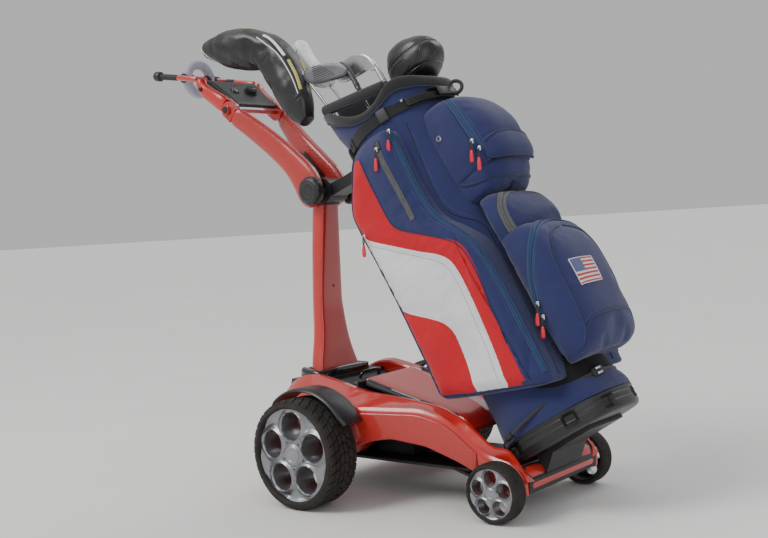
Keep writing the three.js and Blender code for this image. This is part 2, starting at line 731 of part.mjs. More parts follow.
// Elastic cord from a hook on each side beam, over the front of the bag above its base.
const BUNGEE = { radius: 3.5, run: 134.6, high: 88, drop: 36, reach: 112 };
function bungee() {
  const { run, high, drop, reach } = BUNGEE;
  const steps = 14;
  const points = [];
  for (let i = -steps; i <= steps; i += 1) {
    const angle = THREE.MathUtils.degToRad((reach * i) / steps);
    const away = (i / steps) ** 2;
    const r = run + 12 * away ** 4;
    points.push(new THREE.Vector3(r * Math.cos(angle), r * Math.sin(angle), high - drop * away));
  }
  const section = polygon(roundedRing(BUNGEE.radius, BUNGEE.radius, 2, 6));
  const path = new THREE.CatmullRomCurve3(points);
  return new THREE.ExtrudeGeometry(section, { steps: 32, extrudePath: path, bevelEnabled: false });
}
add("bungee_cord", bungee(), RUBBER, bag);

// ---------------------------------------------------------------- clubs
// Each club stands in its own frame: Z up its shaft, which passes the divider grid at x, y.
const SHAFT = { radius: 4.5, sides: 8, foot: 55 };
const GRIP_LEVEL = 782;

function clubFrame({ x, y, lean: tilt }) {
  const frame = new THREE.Group();
  frame.position.set(x, y, GRIP_LEVEL);
  frame.rotation.y = THREE.MathUtils.degToRad(-tilt);
  bag.add(frame);
  return frame;
}

const shaftTo = (top) =>
  new THREE.CylinderGeometry(SHAFT.radius, SHAFT.radius, top - SHAFT.foot, SHAFT.sides)
    .rotateX(Math.PI / 2)
    .translate(0, 0, (top + SHAFT.foot) / 2 - GRIP_LEVEL);

// A rounded skin along a path in X and Z: each station is x, z, half depth, half width, turn in degrees.
function pod(stations, sides = 10) {
  return loft(
    stations.map(([x, z, depth, width, turn, y = 0]) => {
      const a = THREE.MathUtils.degToRad(turn);
      return roundedRing(depth, width, 2.3, sides).map(([u, v]) => [
        x + u * Math.cos(a), y + v, z - GRIP_LEVEL + u * Math.sin(a),
      ]);
    }),
  );
}

const DRIVER = { x: -94, y: -58, lean: 10 };
const driver = join(
  shaftTo(1150),
  pod([[-64, 972, 16, 18, 0, -8], [-56, 1020, 42, 28, 0, -8],
    [-42, 1092, 50, 34, -4, -6], [-40, 1156, 48, 38, 4, -4],
    [-54, 1204, 47, 46, 24], [-80, 1242, 50, 56, 38], [-116, 1284, 45, 60, 42], [-156, 1328, 30, 48, 44],
    [-188, 1366, 9, 18, 45]], 12),
);
add("driver", driver, BLACK, clubFrame(DRIVER));

const COVERED = { x: -104, y: 22, lean: 9 };
const covered = join(
  shaftTo(1090),
  pod([[0, 1036, 12, 14, 0], [-14, 1078, 24, 20, 8], [-20, 1105, 27, 22, 10], [-12, 1182, 26, 21, 8]], 8),
);
add("fairway_wood", covered, WHITE, clubFrame(COVERED));

// A blade in the plane of the face, its toe towards -X, on a hosel in line with the shaft.
const LONG_BLADE = [[-6, -50], [6, -50], [6, -5], [-2, 35], [-30, 58], [-75, 71], [-112, 68], [-118, 45],
  [-100, 28], [-60, 15], [-22, 5], [-8, -15]];
const SHORT_BLADE = [[-6, -30], [6, -30], [4, 2], [-8, 22], [-34, 42], [-78, 66], [-100, 66], [-108, 44],
  [-96, 26], [-58, 8], [-26, -6], [-8, -12]];
const IRONS = [
  { name: "iron_long", x: 52, y: -66, lean: 0, top: 930, blade: LONG_BLADE, turn: -8 },
  { name: "iron_short", x: -4, y: -86, lean: 0, top: 960, blade: SHORT_BLADE, turn: 12 },
];
for (const iron of IRONS) {
  const head = acrossY(polygon(iron.blade), -8, 8)
    .rotateZ(THREE.MathUtils.degToRad(iron.turn))
    .translate(0, 0, iron.top - GRIP_LEVEL);
  add(iron.name, join(shaftTo(iron.top - 20), head), STEEL, clubFrame(iron));
}

const PUTTER = { x: 52, y: 22, lean: 0 };
const putter = join(
  shaftTo(900),
  pod([[8, 866, 34, 34, 0, 12], [30, 884, 64, 50, 0, 12],
    [38, 914, 72, 54, 0, 12], [36, 944, 62, 48, 0, 12],
    [22, 972, 38, 30, 0, 12]], 14),
);
add("putter", putter, BLACK, clubFrame(PUTTER));

// ---------------------------------------------------------------- zip pulls
// Each hangs straight down from its slider, on the outer side of a pocket.
const PULL = { length: 44, radius: 4 };
const PULLS = [
  ["zip_pull_side", -128, -176, 590],
  ["zip_pull_upper", 190, -100, 618],
  ["zip_pull_ball", 150, -122, 244],
];
for (const [name, x, y, z] of PULLS) {
  const [px, pz] = fromBag(x, z);
  const pull = turned(
    [[0, 2], [1.6, 2], [1.6, -14], [PULL.radius, -17], [PULL.radius, 3 - PULL.length],
      [2.5, -PULL.length], [0, -PULL.length]],
    8,
  ).rotateX(Math.PI / 2);
  add(name, pull.translate(px, y, pz), PULL_RED);
}

export default cart;
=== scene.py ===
import json
import math

import bmesh
import bpy
import numpy as np
from mathutils import Matrix, Vector, noise
from mathutils.bvhtree import BVHTree
from mathutils.geometry import delaunay_2d_cdt


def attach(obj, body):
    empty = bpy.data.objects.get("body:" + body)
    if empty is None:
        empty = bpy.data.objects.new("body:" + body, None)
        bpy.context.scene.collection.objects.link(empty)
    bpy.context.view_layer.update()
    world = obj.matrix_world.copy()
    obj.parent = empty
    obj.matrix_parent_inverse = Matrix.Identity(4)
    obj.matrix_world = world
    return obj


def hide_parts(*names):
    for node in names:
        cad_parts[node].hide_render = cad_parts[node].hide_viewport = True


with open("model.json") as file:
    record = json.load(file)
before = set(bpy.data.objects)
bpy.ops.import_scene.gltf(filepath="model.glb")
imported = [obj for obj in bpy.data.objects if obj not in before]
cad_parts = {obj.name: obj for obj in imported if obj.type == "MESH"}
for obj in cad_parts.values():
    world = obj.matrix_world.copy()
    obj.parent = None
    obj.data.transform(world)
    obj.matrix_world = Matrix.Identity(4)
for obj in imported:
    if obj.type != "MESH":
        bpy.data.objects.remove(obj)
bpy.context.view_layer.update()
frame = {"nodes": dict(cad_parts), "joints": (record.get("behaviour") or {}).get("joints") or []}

NODES = frame["nodes"]


# ---------------------------------------------------------------- frames
# Cart points are millimetres from the rear axle's ground point; bag points are (t, y, s):
# t out of the bag's front, y to the left, s up the bag, all in millimetres.
JOINTS = {j["name"]: j for j in frame["joints"]}
AXLE_X = JOINTS["rear_wheel_right_spin"]["pos_m"][0]
REAR_Z = JOINTS["rear_wheel_right_spin"]["pos_m"][2]
REAR_Y = abs(JOINTS["rear_wheel_right_spin"]["pos_m"][1])
FRONT_X, FRONT_Y, FRONT_Z = JOINTS["front_wheel_left_spin"]["pos_m"]
HINGE = Vector(JOINTS["handle_fold"]["pos_m"])
TILT = Vector(JOINTS["handle_tilt"]["pos_m"])
LEAN = math.radians(30.5)
BAG_FOOT = (529, 147)
SIDES = (("right", -1), ("left", 1))
ROOT = "chassis_and_bag"


def cart(x, y, z):
    """A cart point in the row frame, in metres."""
    return Vector((x / 1000 + AXLE_X, y / 1000, z / 1000))


def bag(t, y, s):
    """A bag point in the row frame, in metres."""
    x = BAG_FOOT[0] + t * math.cos(LEAN) - s * math.sin(LEAN)
    z = BAG_FOOT[1] + t * math.sin(LEAN) + s * math.cos(LEAN)
    return cart(x, y, z)


# ---------------------------------------------------------------- mesh helpers
def to_mesh(name, verts, faces, smooth=True):
    mesh = bpy.data.meshes.new(name)
    mesh.from_pydata([tuple(v) for v in verts], [], [tuple(f) for f in faces])
    mesh.validate()
    if smooth:
        mesh.polygons.foreach_set("use_smooth", [True] * len(mesh.polygons))
    mesh.update()
    o = bpy.data.objects.new(name, mesh)
    bpy.context.scene.collection.objects.link(o)
    return o


def fix_normals(o):
    """Joins doubled vertices and turns the faces outwards."""
    bm = bmesh.new()
    bm.from_mesh(o.data)
    bmesh.ops.remove_doubles(bm, verts=bm.verts, dist=1e-6)
    bmesh.ops.recalc_face_normals(bm, faces=bm.faces)
    bm.to_mesh(o.data)
    bm.free()
    return o


def apply_modifiers(o):
    """Leaves the mesh as its modifiers make it."""
    dg = bpy.context.evaluated_depsgraph_get()
    mesh = bpy.data.meshes.new_from_object(o.evaluated_get(dg))
    o.modifiers.clear()
    old = o.data
    o.data = mesh
    bpy.data.meshes.remove(old)
    return o


def finish_piece(o, body, look, slot=None, replaces=(), bevel=0.0, sub=0, sharp=None):
    """Modifiers, look, ride and replaced nodes of one piece; the slot argument is not used."""
    o.data.materials.append(look.material)
    if bevel:
        mod = o.modifiers.new("edge", "BEVEL")
        mod.width, mod.segments, mod.limit_method = bevel, 2, "ANGLE"
        mod.angle_limit = math.radians(28)
        mod.harden_normals = False
    if sub:
        mod = o.modifiers.new("smooth", "SUBSURF")
        mod.levels = mod.render_levels = sub
    if bevel or sub:
        apply_modifiers(o)
    if sharp is not None:
        o.data.set_sharp_from_angle(angle=math.radians(sharp))
    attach(o, body)
    if replaces:
        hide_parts(*replaces)
    return o


def add(name, shape, body, look, slot=None, replaces=(), smooth=True, **finish):
    """One finished piece from a shape's (verts, faces)."""
    o = fix_normals(to_mesh(name, *shape, smooth))
    return finish_piece(o, body, look, slot, replaces, **finish)


def merge(parts):
    """[(verts, faces)] -> one (verts, faces)."""
    verts, faces = [], []
    for v, f in parts:
        base = len(verts)
        verts.extend([tuple(p) for p in v])
        faces.extend([tuple(i + base for i in face) for face in f])
    return verts, faces


def loft(rings, cap=True, closed=True):
    """Skin through rings of equal length."""
    n = len(rings[0])
    verts = [tuple(p) for ring in rings for p in ring]
    faces = []
    for r in range(len(rings) - 1):
        for i in range(n if closed else n - 1):
            a, b = r * n + i, r * n + (i + 1) % n
            faces.append((a, b, b + n, a + n))
    if cap:
        faces.append(tuple(reversed(range(n))))
        faces.append(tuple(range((len(rings) - 1) * n, len(rings) * n)))
    return verts, faces


def lathe(profile, origin, axis, sides=32, closed=False, start=None):
    """Turns (radius, height) points about an axis; a radius of 0 closes the form."""
    axis = Vector(axis).normalized()
    ref = Vector(start) if start else (Vector((0, 0, 1)) if abs(axis.z) < 0.9 else Vector((1, 0, 0)))
    u = (ref - axis * ref.dot(axis)).normalized()
    w = axis.cross(u)
    verts, rows = [], []
    for r, h in profile:
        if r < 1e-9:
            rows.append([len(verts)] * sides)
            verts.append(Vector(origin) + axis * h)
        else:
            row = []
            for i in range(sides):
                a = 2 * math.pi * i / sides
                row.append(len(verts))
                verts.append(Vector(origin) + axis * h + u * (r * math.cos(a)) + w * (r * math.sin(a)))
            rows.append(row)
    faces = []
    count = len(rows) if closed else len(rows) - 1
    for k in range(count):
        p, q = rows[k], rows[(k + 1) % len(rows)]
        for i in range(sides):
            j = (i + 1) % sides
            face = []
            for v in (p[i], p[j], q[j], q[i]):
                if v not in face:
                    face.append(v)
            if len(face) > 2:
                faces.append(tuple(face))
    return verts, faces


def lathe_mm(profile, *rest, **more):
    """A lathe whose profile is in millimetres."""
    return lathe([(r / 1000, h / 1000) for r, h in profile], *rest, **more)


def smooth_path(points, step, closed=False):
    """Catmull-Rom through the points, resampled at an even step."""
    p = np.asarray([tuple(q) for q in points], float)
    n = len(p)
    fine = []
    segments = n if closed else n - 1
    for i in range(segments):
        if closed:
            a, b, c, d = p[(i - 1) % n], p[i], p[(i + 1) % n], p[(i + 2) % n]
        else:
            b, c = p[i], p[i + 1]
            a = p[i - 1] if i else 2 * b - c
            d = p[i + 2] if i + 2 < n else 2 * c - b
        for k in range(12):
            x = k / 12
            fine.append(
                0.5 * (
                    2 * b + (c - a) * x + (2 * a - 5 * b + 4 * c - d) * x**2
                    + (3 * b - a - 3 * c + d) * x**3
                )
            )
    fine.append(p[0] if closed else p[-1])
    fine = np.array(fine)
    length = np.concatenate([[0], np.cumsum(np.linalg.norm(np.diff(fine, axis=0), axis=1))])
    count = max(2, int(round(length[-1] / step)) + 1)
    at = np.linspace(0, length[-1], count)
    out = np.stack([np.interp(at, length, fine[:, k]) for k in range(fine.shape[1])], 1)
    return out[:-1] if closed else out


def frames_along(path, normals=None, closed=False):
    """Tangent, side and up directions at each point of a path."""
    n = len(path)
    tangents = np.roll(path, -1, 0) - np.roll(path, 1, 0) if closed else np.gradient(path, axis=0)
    tangents = tangents / np.maximum(np.linalg.norm(tangents, axis=1), 1e-12)[:, None]
    if normals is None:
        up = np.zeros((n, 3))
        ref = np.array([0, 0, 1.0]) if abs(tangents[0][2]) < 0.9 else np.array([1.0, 0, 0])
        for i in range(n):
            ref = ref - tangents[i] * (ref @ tangents[i])
            ref = ref / np.linalg.norm(ref)
            up[i] = ref
    else:
        up = normals - tangents * np.sum(normals * tangents, 1)[:, None]
        up = up / np.maximum(np.linalg.norm(up, axis=1), 1e-12)[:, None]
    side = np.cross(tangents, up)
    return tangents, side, up


def sweep(path, section, normals=None, closed=False, scale=None):
    """A section of (side, up) points carried along a path."""
    path = np.asarray([tuple(p) for p in path], float)
    _, side, up = frames_along(path, normals, closed)
    rings = []
    for i, p in enumerate(path):
        k = 1 if scale is None else scale[i]
        rings.append([p + side[i] * u * k + up[i] * v * k for u, v in section])
    if closed:
        verts, faces = loft(rings, cap=False)
        n = len(section)
        base = (len(rings) - 1) * n
        for i in range(n):
            j = (i + 1) % n
            faces.append((base + i, base + j, j, i))
        return verts, faces
    return loft(rings)


def circle(radius, sides=8):
    """A round section for sweep()."""
    return [
        (radius * math.cos(2 * math.pi * i / sides), radius * math.sin(2 * math.pi * i / sides))
        for i in range(sides)
    ]


def rounded(w, h, r, steps=2):
    """Rounded rectangle section of full width w and height h, its base at height 0."""
    out = []
    for cx, cy, a0 in (
        (w / 2 - r, r, -90), (w / 2 - r, h - r, 0), (-w / 2 + r, h - r, 90), (-w / 2 + r, r, 180)
    ):
        for k in range(steps + 1):
            a = math.radians(a0 + 90 * k / steps)
            out.append((cx + r * math.cos(a), cy + r * math.sin(a)))
    return out


def signed_power(value, power):
    return math.copysign(abs(value) ** power, value)


def superring(a, b, power, sides, centre=0.0):
    """A closed loop between an ellipse and a rectangle: a power of 2 is an ellipse."""
    out = []
    for i in range(sides):
        angle = 2 * math.pi * i / sides
        c, s = math.cos(angle), math.sin(angle)
        out.append((centre + a * signed_power(c, 2 / power), b * signed_power(s, 2 / power)))
    return out


def tree_of(*objects):
    """One BVH of several objects' final meshes, in the row frame."""
    verts, faces = [], []
    dg = bpy.context.evaluated_depsgraph_get()
    for o in objects:
        e = o.evaluated_get(dg)
        mesh = e.to_mesh()
        base = len(verts)
        verts.extend([o.matrix_world @ v.co for v in mesh.vertices])
        faces.extend([tuple(i + base for i in p.vertices) for p in mesh.polygons])
        e.to_mesh_clear()
    return BVHTree.FromPolygons(verts, faces)


def stick(tree, points, away=0.0, smooth=2):
    """Puts row-frame points on the nearest surface; returns places and normals."""
    places, normals = [], []
    for p in points:
        hit, normal, _, _ = tree.find_nearest(Vector(p))
        places.append(tuple(hit))
        normals.append(tuple(normal))
    places, normals = np.array(places), np.array(normals)
    for _ in range(smooth):
        inner = (normals[:-2] + 2 * normals[1:-1] + normals[2:]) / 4
        normals[1:-1] = inner
        normals /= np.linalg.norm(normals, axis=1)[:, None]
        middle = (places[:-2] + 2 * places[1:-1] + places[2:]) / 4
        places[1:-1] = middle
    return places + normals * away, normals


def mirror_y(verts_faces):
    """A shape seen in the cart's middle plane."""
    verts, faces = verts_faces
    return [(v[0], -v[1], v[2]) for v in verts], [tuple(reversed(f)) for f in faces]


def both_sides(part, side):
    """A right-hand shape, or its mirror image for the left."""
    return part if side < 0 else mirror_y(part)


def lerp_table(pairs, at):
    """Reads a table of (place, value) pairs."""
    return float(np.interp(at, [p[0] for p in pairs], [p[1] for p in pairs]))


# ---------------------------------------------------------------- materials
class Look:
    """A material's node tree with short ways to add and join nodes."""

    def __init__(self, name, color, roughness, metallic=0.0, **sockets):
        self.material = bpy.data.materials.new(name)
        self.material.use_nodes = True
        self.tree = self.material.node_tree
        self.shader = self.tree.nodes["Principled BSDF"]
        self.color = color
        self.set("Base Color", (*color, 1))
        self.set("Roughness", roughness)
        self.set("Metallic", metallic)
        for key, value in sockets.items():
            self.set(key.replace("_", " "), value)
        self.coords = self.add("ShaderNodeTexCoord").outputs["Object"]
        self.bump_out = None

    def set(self, socket, value):
        self.shader.inputs[socket].default_value = value

    def add(self, kind, **inputs):
        node = self.tree.nodes.new(kind)
        for key, value in inputs.items():
            self.put(node, key, value)
        return node

    def put(self, node, key, value):
        socket = node.inputs[int(key[1:])] if key[0] == "i" and key[1:].isdigit() else node.inputs[key]
        if isinstance(value, bpy.types.NodeSocket):
            self.tree.links.new(value, socket)
        else:
            socket.default_value = value

    def link(self, output, socket):
        self.tree.links.new(output, self.shader.inputs[socket])

    def math(self, operation, a, b=0.0, clamp=False):
        node = self.add("ShaderNodeMath", i0=a, i1=b)
        node.operation, node.use_clamp = operation, clamp
        return node.outputs[0]

    def noise(self, scale, detail=3.0, rough=0.5, vector=None):
        node = self.add("ShaderNodeTexNoise", Scale=scale, Detail=detail, Roughness=rough)
        self.put(node, "Vector", vector or self.coords)
        return node.outputs["Fac"]

    def turned(self, rotation, scale=(1, 1, 1)):
        node = self.add("ShaderNodeMapping", Rotation=rotation, Scale=scale)
        self.put(node, "Vector", self.coords)
        return node.outputs[0]

    def wave(self, scale, direction="X", vector=None, distortion=0.0):
        node = self.add("ShaderNodeTexWave", Scale=scale, Distortion=distortion)
        node.bands_direction = direction
        self.put(node, "Vector", vector or self.coords)
        return node.outputs["Fac"]

    def ramp(self, value, stops):
        node = self.add("ShaderNodeValToRGB", Fac=value)
        elements = node.color_ramp.elements
        while len(elements) < len(stops):
            elements.new(0.5)
        for element, (at, color) in zip(elements, stops):
            element.position = at
            element.color = (*color, 1) if len(color) == 3 else color
        return node.outputs["Color"]

    def between(self, value, low, high):
        node = self.add("ShaderNodeMapRange", Value=value)
        node.inputs["To Min"].default_value = low
        node.inputs["To Max"].default_value = high
        return node.outputs[0]

    def mix(self, factor, a, b, mode="MIX"):
        node = self.tree.nodes.new("ShaderNodeMix")
        node.data_type, node.blend_type = "RGBA", mode
        for key, value in (("Factor_Float", factor), ("A_Color", a), ("B_Color", b)):
            socket = next(s for s in node.inputs if s.identifier == key)
            if isinstance(value, bpy.types.NodeSocket):
                self.tree.links.new(value, socket)
            else:
                socket.default_value = (*value, 1) if isinstance(value, tuple) and len(
                    value
                ) == 3 else value
        return next(s for s in node.outputs if s.identifier == "Result_Color")

    def bump(self, height, distance, strength=1.0):
        node = self.add("ShaderNodeBump", Height=height, Distance=distance, Strength=strength)
        if self.bump_out is not None:
            self.put(node, "Normal", self.bump_out)
        self.bump_out = node.outputs["Normal"]
        self.link(self.bump_out, "Normal")
        return self

    def tint(self, amount=0.12, scale=9.0, detail=4.0):
        """Slow colour variation round the base colour."""
        c = self.color
        dark = tuple(v * (1 - amount) for v in c)
        light = tuple(min(1, v * (1 + amount) + 0.004) for v in c)
        self.link(self.ramp(self.noise(scale, detail), [(0.3, dark), (0.7, light)]), "Base Color")
        return self

    def grain(self, scale=900.0, distance=0.00008, strength=0.5):
        return self.bump(self.noise(scale, 2), distance, strength)

    def rough(self, low, high, scale=30.0):
        self.link(self.between(self.noise(scale, 5), low, high), "Roughness")
        return self


def weave_height(look, pitch, angle=0.0):
    """The height of woven threads: two sets of waves that cross."""
    scale = 1 / pitch
    turned = look.turned((0.0, LEAN + angle, 0.0))
    along = look.wave(scale * 0.5, "Z", turned)
    split = look.add("ShaderNodeSeparateXYZ", Vector=turned)
    both = look.math("ADD", split.outputs["X"], split.outputs["Y"])
    joined = look.add("ShaderNodeCombineXYZ", X=both, Y=0.0, Z=0.0)
    across = look.wave(scale * 0.5, "X", joined.outputs[0])
    return look.math("MULTIPLY", along, across)


def paint(name, color, coat=1.0):
    """Glossy paint with a faint orange peel."""
    look = Look(name, color, 0.32, Coat_Weight=coat, Coat_Roughness=0.08, Specular_IOR_Level=0.5)
    look.tint(0.06, 5.0)
    look.bump(look.noise(420, 2), 0.00012, 0.35)
    look.rough(0.26, 0.4, 40)
    return look


def fabric(name, color, sheen=0.25, pitch=0.0011, rough=0.82, wrinkle=0.6):
    """Woven cloth with fine wrinkles."""
    look = Look(name, color, rough, Sheen_Weight=sheen, Sheen_Roughness=0.45, Specular_IOR_Level=0.28)
    c = look.color
    weave = weave_height(look, pitch)
    dark = tuple(v * 0.72 for v in c)
    light = tuple(min(1, v * 1.16 + 0.006) for v in c)
    slow = look.noise(14, 5, 0.55)
    base = look.ramp(
        slow, [(0.28, tuple(v * 0.9 for v in c)), (0.72, tuple(min(1, v * 1.1) for v in c))]
    )
    threads = look.ramp(weave, [(0.0, dark), (0.5, light)])
    look.link(look.mix(0.4, base, threads), "Base Color")
    look.bump(look.noise(9, 4, 0.5), 0.012, wrinkle * 0.35)
    look.bump(look.noise(38, 4, 0.55), 0.003, wrinkle * 0.5)
    look.bump(weave, 0.00025, 0.7)
    return look


RED = paint("red_paint", (0.52, 0.016, 0.010))
CARBON = Look("red_carbon", (0.48, 0.015, 0.010), 0.34, Coat_Weight=0.8, Coat_Roughness=0.12)
_twist = CARBON.turned((0.0, math.radians(38), 0.0))
_tow = CARBON.wave(150, "X", _twist)
_cross = CARBON.wave(150, "Z", _twist)
_check = CARBON.add("ShaderNodeTexChecker", Scale=150.0)
CARBON.put(_check, "Vector", _twist)
_weave = CARBON.mix(_check.outputs["Fac"], _tow, _cross)
CARBON.link(
    CARBON.ramp(_weave, [(0.15, (0.30, 0.009, 0.006)), (0.85, (0.60, 0.028, 0.018))]), "Base Color"
)
CARBON.bump(_weave, 0.0004, 0.55)
CARBON.rough(0.28, 0.42, 60)

BLACK = Look("black_plastic", (0.016, 0.016, 0.018), 0.42, Specular_IOR_Level=0.5).tint(0.25, 18)
BLACK.rough(0.36, 0.52, 45).grain(700, 0.0001, 0.45)
GLOSS = Look(
    "gloss_black", (0.008, 0.008, 0.009), 0.16, Coat_Weight=0.8, Coat_Roughness=0.06
).tint(0.2, 9)
GLOSS.rough(0.12, 0.26, 30).grain(300, 0.00006, 0.3)
RUBBER = Look("tyre_rubber", (0.022, 0.018, 0.016), 0.72, Specular_IOR_Level=0.35).tint(0.35, 30)
RUBBER.rough(0.62, 0.86, 50).bump(RUBBER.noise(160, 5), 0.0006, 0.45).grain(900, 0.00015, 0.5)
RIM = Look("rim_silver", (0.30, 0.305, 0.32), 0.36, metallic=0.85, Coat_Weight=0.25, Coat_Roughness=0.2)
RIM.tint(0.1, 26).rough(0.3, 0.46, 70).bump(RIM.noise(1400, 2), 0.00005, 0.5)
STEEL = Look("steel", (0.42, 0.42, 0.43), 0.3, metallic=1.0).tint(0.1, 40)
STEEL.rough(0.22, 0.42, 90).bump(STEEL.wave(700, "Y"), 0.00003, 0.4)
CHROME = Look("chrome", (0.78, 0.78, 0.8), 0.11, metallic=1.0).tint(0.05, 20)
CHROME.rough(0.07, 0.18, 60).grain(500, 0.00003, 0.3)
BRUSHED = Look("brushed_head", (0.55, 0.55, 0.57), 0.3, metallic=1.0).tint(0.08, 30)
BRUSHED.rough(0.22, 0.4, 80).bump(BRUSHED.noise(600, 2), 0.00006, 0.5)
BOARD = Look("board_green", (0.02, 0.11, 0.045), 0.5).tint(0.3, 120)
BOARD.bump(BOARD.noise(400, 3), 0.0003, 0.5)
SOFT = Look(
    "soft_grip", (0.36, 0.36, 0.44), 0.6, Sheen_Weight=0.2, Subsurface_Weight=0.0
).tint(0.07, 20)
SOFT.rough(0.52, 0.7, 40).bump(SOFT.noise(220, 4), 0.0004, 0.35)
DARK_RUBBER = Look("dark_rubber", (0.018, 0.018, 0.02), 0.66).tint(0.25, 30)
DARK_RUBBER.rough(0.58, 0.78, 50).grain(600, 0.00015, 0.5)

NAVY = fabric("navy_nylon", (0.022, 0.028, 0.110))
NAVY_DARK = fabric("navy_lining", (0.012, 0.016, 0.045), sheen=0.1)
RED_CLOTH = fabric("red_nylon", (0.56, 0.010, 0.020), sheen=0.15)
WHITE_CLOTH = fabric("white_nylon", (0.78, 0.78, 0.80), sheen=0.1, wrinkle=0.8)
PADDED = fabric("cuff_mesh", (0.020, 0.020, 0.021), sheen=0.3, pitch=0.0022)
LINING = fabric("black_lining", (0.008, 0.008, 0.009), sheen=0.12)
ZIP_BLUE = fabric("zip_tape_blue", (0.026, 0.056, 0.145), pitch=0.0008, sheen=0.2, wrinkle=0.2)
ZIP_GREY = fabric("zip_tape_grey", (0.10, 0.10, 0.105), pitch=0.0008, wrinkle=0.2)
TEETH_BLUE = Look("zip_teeth_blue", (0.028, 0.060, 0.155), 0.4).tint(0.15, 60)
TEETH_BLUE.grain(900, 0.00006, 0.4)
TEETH_GREY = Look("zip_teeth_grey", (0.13, 0.13, 0.135), 0.38).tint(0.2, 60)
TEETH_GREY.grain(900, 0.00006, 0.4)
PIPING = fabric("navy_piping", (0.014, 0.022, 0.072), pitch=0.0009, wrinkle=0.2)
THREAD = Look("thread", (0.045, 0.07, 0.19), 0.7, Sheen_Weight=0.3).tint(0.15, 200)
THREAD.bump(THREAD.wave(900, "X"), 0.0001, 0.5)
WHITE_THREAD = Look("white_thread", (0.55, 0.55, 0.58), 0.7, Sheen_Weight=0.3).tint(0.1, 200)
WHITE_THREAD.bump(WHITE_THREAD.wave(900, "X"), 0.0001, 0.5)
WEBBING = fabric("black_webbing", (0.014, 0.014, 0.015), pitch=0.0016, sheen=0.25, wrinkle=0.25)
CORD = Look("braided_cord", (0.014, 0.014, 0.015), 0.7, Sheen_Weight=0.25).tint(0.3, 200)
CORD.bump(CORD.wave(420, "DIAGONAL"), 0.0005, 0.7)
PULL = Look("pull_red", (0.66, 0.012, 0.022), 0.42, Coat_Weight=0.2).tint(0.08, 60)
PULL.rough(0.36, 0.5, 60).grain(700, 0.00008, 0.4)
LEATHER = Look(
    "cover_black", (0.010, 0.010, 0.011), 0.34, Coat_Weight=0.2, Coat_Roughness=0.25
).tint(0.3, 14)
LEATHER.rough(0.28, 0.48, 24).bump(LEATHER.noise(26, 5), 0.004, 0.5)
LEATHER.bump(LEATHER.noise(520, 3), 0.00025, 0.5)
WHITE_LEATHER = Look("cover_white", (0.86, 0.86, 0.86), 0.38, Coat_Weight=0.2).tint(0.04, 14)
WHITE_LEATHER.bump(WHITE_LEATHER.noise(30, 4), 0.002, 0.35).grain(600, 0.00015, 0.4)
TRIM_YELLOW = Look("trim_yellow", (0.55, 0.50, 0.14), 0.45).tint(0.1, 50)
TRIM_YELLOW.grain(700, 0.0001, 0.4)
PATCH_WHITE = fabric("patch_white", (0.72, 0.72, 0.74), pitch=0.0009, wrinkle=0.1)
PATCH_RED = fabric("patch_red", (0.55, 0.02, 0.03), pitch=0.0009, wrinkle=0.1)
PATCH_BLUE = fabric("patch_blue", (0.10, 0.13, 0.28), pitch=0.0009, wrinkle=0.1)
GRAPHITE = Look("shaft_steel", (0.36, 0.36, 0.38), 0.26, metallic=1.0).tint(0.08, 30)
GRAPHITE.grain(600, 0.00003, 0.3)
DARK_STEEL = Look("dark_steel", (0.11, 0.11, 0.12), 0.34, metallic=1.0).tint(0.1, 30)
DARK_STEEL.rough(0.26, 0.46, 80).bump(DARK_STEEL.noise(600, 2), 0.00006, 0.5)
SATIN = Look(
    "satin_black", (0.010, 0.010, 0.011), 0.38, Coat_Weight=0.15, Coat_Roughness=0.3
).tint(0.2, 9)
SATIN.rough(0.32, 0.5, 30).grain(300, 0.00008, 0.3)


# ---------------------------------------------------------------- wheels
def cdt_fill(loops, holes, extra):
    """Triangles between closed 2-D loops, with no triangle inside a hole."""
    points, edges = [], []
    for loop in loops + holes:
        base = len(points)
        points.extend(Vector(p) for p in loop)
        edges.extend((base + i, base + (i + 1) % len(loop)) for i in range(len(loop)))
    points.extend(Vector(p) for p in extra)
    out, _, faces, *_ = delaunay_2d_cdt(points, edges, [], 0, 1e-7)
    return [Vector(p) for p in out], [tuple(f) for f in faces]


def ring_points(radius, count, cx=0.0, cy=0.0, phase=0.0):
    step = 2 * math.pi / count
    return [
        (cx + radius * math.cos(i * step + phase), cy + radius * math.sin(i * step + phase))
        for i in range(count)
    ]


